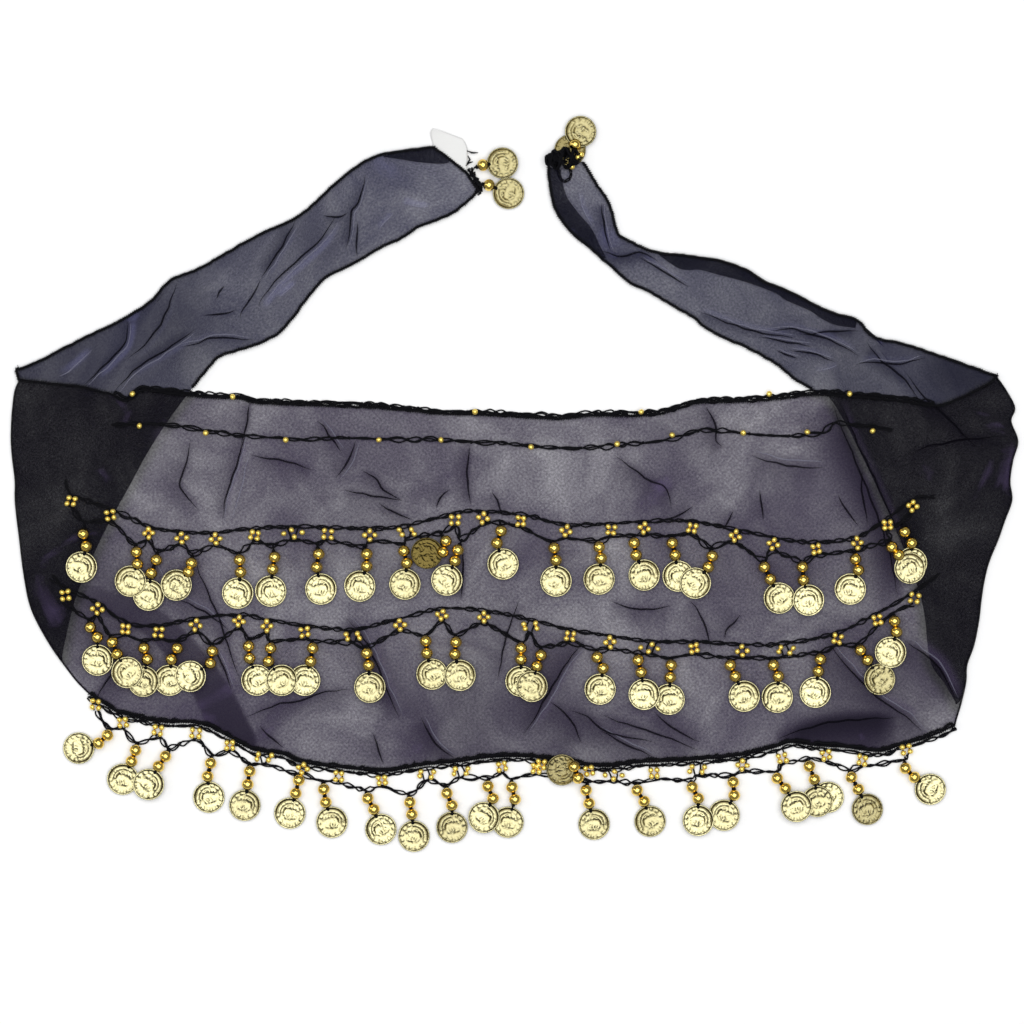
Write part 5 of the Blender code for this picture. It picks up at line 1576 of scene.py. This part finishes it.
def row_upper(rows, ends):
    """The upper chain of a row: it runs just above each cluster."""
    start, stop, last = (on_chart(end) for end in ends)
    above = (0, CLUSTER_REACH * STEP)
    tops = on_chart([row[:2] for row in rows]) + above
    return smooth_curve(np.vstack((start, tops, last + above, stop)))


def hem_extras(pendants):
    """The pendant that is turned up over the hem, and the second coin on one thread."""
    root = np.array((*on_chart(HEM_TURNED_UP[2:4]), CORD_RADIUS * 2))
    pendants.pendant(root, HEM_TURNED_UP[4:], lift=0.0024)
    bead_spot, coin_spot = on_chart(HEM_SECOND_COIN)
    hole = pendants.coin_at(bead_spot, coin_spot, 0, 0.1, 2)
    pendants.threads.append(np.linspace((*bead_spot, BEAD_RADIUS), hole, 6))


coin_row("coin_row_1", ROW_1, ROW_1_ENDS[2], row_upper(ROW_1, ROW_1_ENDS), 31, 0.6)
coin_row("coin_row_2", ROW_2, ROW_2_ENDS[2], row_upper(ROW_2, ROW_2_ENDS), 41, 0.5)
coin_row("coin_row_hem", HEM_ROW, HEM_ROW_LAST, sideways(hem, -0.0018), 51, 0.1, hem_extras,
         more=((589, 770.5), (541, 764)))

# %% [markdown]
# Single small beads are threaded on the waist chain and on the panel chain. Their places are read
# off one by one, because a maker spaces them by eye. Each has a chance turn, so that no two catch
# the light alike.

# %% Single small beads
WAIST_BEADS = ((133, 394), (233, 397), (475, 412), (641, 412), (769, 394), (849, 394))
CHAIN_BEADS = ((140, 426), (206, 433), (286, 440), (379, 440), (441, 440), (531, 447), (617, 444),
               (672, 435), (743, 433), (807, 432), (872, 431))
spots = on_chart(WAIST_BEADS + CHAIN_BEADS)
heights = highest_near(spots, SMALL_BEAD_RADIUS) + CORD_RADIUS + SMALL_BEAD_RADIUS
turns = np.random.default_rng(9).uniform(0, pi, (len(spots), 3))
copies("chain_beads", small_bead, GLASS_LOOK, np.column_stack((spots, heights)), turns, 1.05)

# %% [markdown]
# ## Tips of the ties
#
# The crochet gathers the cloth at each tip. At the left one, crossing strands lie along the tip in
# two layers, and two pendants hang from them. At the right one it is a knot: chains wound over a
# lump, on paths that go round an ellipsoid many times. A pendant and a second coin hang there.

# %% Knots and their pendants
TIP_LEFT_KNOT = ((470.5, 168), (472, 174), (477, 182.5), (480, 189), (477, 193))
TIP_LEFT_PENDANTS = (
    ((474, 168), (483, 165.5, 483, 165.5, 502.5, 163.5, 1, 0.45, 2)),
    ((480, 184), (489, 185.5, 489, 185.5, 508.5, 193.5, 0, 0.45, -2)),
)
TIP_RIGHT_PENDANTS = (
    ((573, 155), (575, 145, 575, 145, 580.5, 132, 1, 0.45, 0)),
)
TIP_RIGHT_UNDER_COIN = ((566, 160), (570, 150.5))
LUMP_CENTRE, LUMP_HEIGHT = (563, 159), 0.0078
# Half length and half width in chart steps, share of the height, turns, lean in degrees
WINDINGS = (((17, 10), 1.0, 11.3, 8), ((15, 7), 0.8, 9.7, -4), ((12, 3), 0.9, 8.2, 3))
WOUND_POINTS = 420


def wound_lump(centre, half, height, turns, lean):
    """Path that winds over a lump while it goes five times from one end to the other."""
    middle = on_chart(centre)
    t = np.linspace(0, 1, WOUND_POINTS)
    along = np.cos(pi * t * 5)
    swing = np.sqrt(np.maximum(1 - along ** 2, 0.02))
    angle = 2 * pi * turns * t
    x = half[0] * STEP * along
    y = half[1] * STEP * swing * np.cos(angle)
    z = height / 2 + height / 2 * swing * np.sin(angle) * 0.85
    flat_x = x * cos(lean) - y * sin(lean)
    flat_y = x * sin(lean) + y * cos(lean)
    return np.column_stack((middle[0] + flat_x, middle[1] + flat_y, z + 0.0012))


left_path = smooth_curve(on_chart(TIP_LEFT_KNOT))
chance = np.random.default_rng(61)
left_coils = []
for level in (0.0, 0.0010):
    for strand in strands(left_path, 0.0032, 0.0016, chance)[0]:
        left_coils.append(strand + (0, 0, level))
threads("tie_left_knot_crochet", left_coils, 0.0007, 0.2)
tip = Pendants("tie_left_tip")
for root, line in TIP_LEFT_PENDANTS:
    tip.pendant(np.array((*on_chart(root), 0.002)), line)
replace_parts(tip.make(), "tie_left_knot")

windings = [wound_lump(LUMP_CENTRE, half, LUMP_HEIGHT * share, turns, radians(lean))
            for half, share, turns, lean in WINDINGS]
links("tie_right_knot_crochet", windings, link, 0.0021, 1.5)
tip = Pendants("tie_right_tip")
for root, line in TIP_RIGHT_PENDANTS:
    tip.pendant(np.array((*on_chart(root), 0.004)), line)
tip.coin_at(*on_chart(TIP_RIGHT_UNDER_COIN), 0, 0.7, 2)
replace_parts(tip.make(), "tie_right_knot")

TIP_RIGHT_LOOP = ((562, 162), (558, 168), (559, 176), (563, 181), (568, 180), (571, 174), (568, 164))
loop_path = laid(smooth_curve(on_chart(TIP_RIGHT_LOOP)), 0.0008)
links("tie_right_loop", [loop_path], link, 0.0026, 0.9)
# Across and down on the chart, height
TIP_RIGHT_BEADS = ((578, 158, 0.006), (581, 155, 0.0052), (572, 167, 0.0026))
places = [(*on_chart(bead_at[:2]), bead_at[2]) for bead_at in TIP_RIGHT_BEADS]
copies("tie_right_small_beads", small_bead, GLASS_LOOK, places, [(0, 0, 0)] * len(places))

# %% [markdown]
# ## Care label
#
# A short piece of white satin ribbon is sewn in at the left tip. It is left blank. It is one more
# cloth wall between four edges, and a smooth curl lifts it towards its free corner. A few black
# thread ends lie at the side that is sewn in.

# %% Care label
LABEL_TOP = ((433, 128.6), (449, 134), (463, 139))
LABEL_BOTTOM = ((433.5, 146), (450, 159), (467, 171.5))
LABEL_FREE = ((433, 128.6), (430.5, 134), (433.5, 146))
LABEL_FAR = ((463, 139), (467.7, 150), (467, 171.5))
LABEL_CELLS = 16
LABEL_HEIGHT, LABEL_CURL = 0.0004, 0.0022
label_edges = [smooth_curve(on_chart(edge)) for edge in (LABEL_TOP, LABEL_BOTTOM, LABEL_FREE, LABEL_FAR)]
label_grid = blended_grid(*label_edges, LABEL_CELLS, LABEL_CELLS)
flat = label_grid.reshape(-1, 2)
towards_free = np.linspace(1, 0, LABEL_CELLS + 1)
curl = towards_free[None, :] * towards_free[:, None] ** 2
under = LABEL_HEIGHT + LABEL_CURL * curl.ravel()
none = np.zeros(len(flat))
label_piece, label_area = cloth_wall("care_label", label_grid, under, flat, none, none, satin)
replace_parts(label_piece, "label")
# Three places of each thread end, and the height at each of the three
LABEL_THREADS = (((467, 151), (472, 153), (478, 153)), ((466, 166), (469, 163), (473, 162)),
                 ((468, 156), (470, 160), (467, 164)))
LABEL_THREAD_HEIGHTS = (0.0016, 0.0022, 0.0018)
label_threads = [np.column_stack((on_chart(path), LABEL_THREAD_HEIGHTS)) for path in LABEL_THREADS]
threads("label_threads", label_threads, THREAD_RADIUS, 0.3)

# %% [markdown]
# ## The last step
#
# The right tie lies bunched, so its cut is a quarter more than what shows of it. The stock parts
# that the trees copied are removed.

# %% Finish
for part in (stitch, link, bead, small_bead, knot, coin, coin_mirrored):
    bpy.data.objects.remove(part)
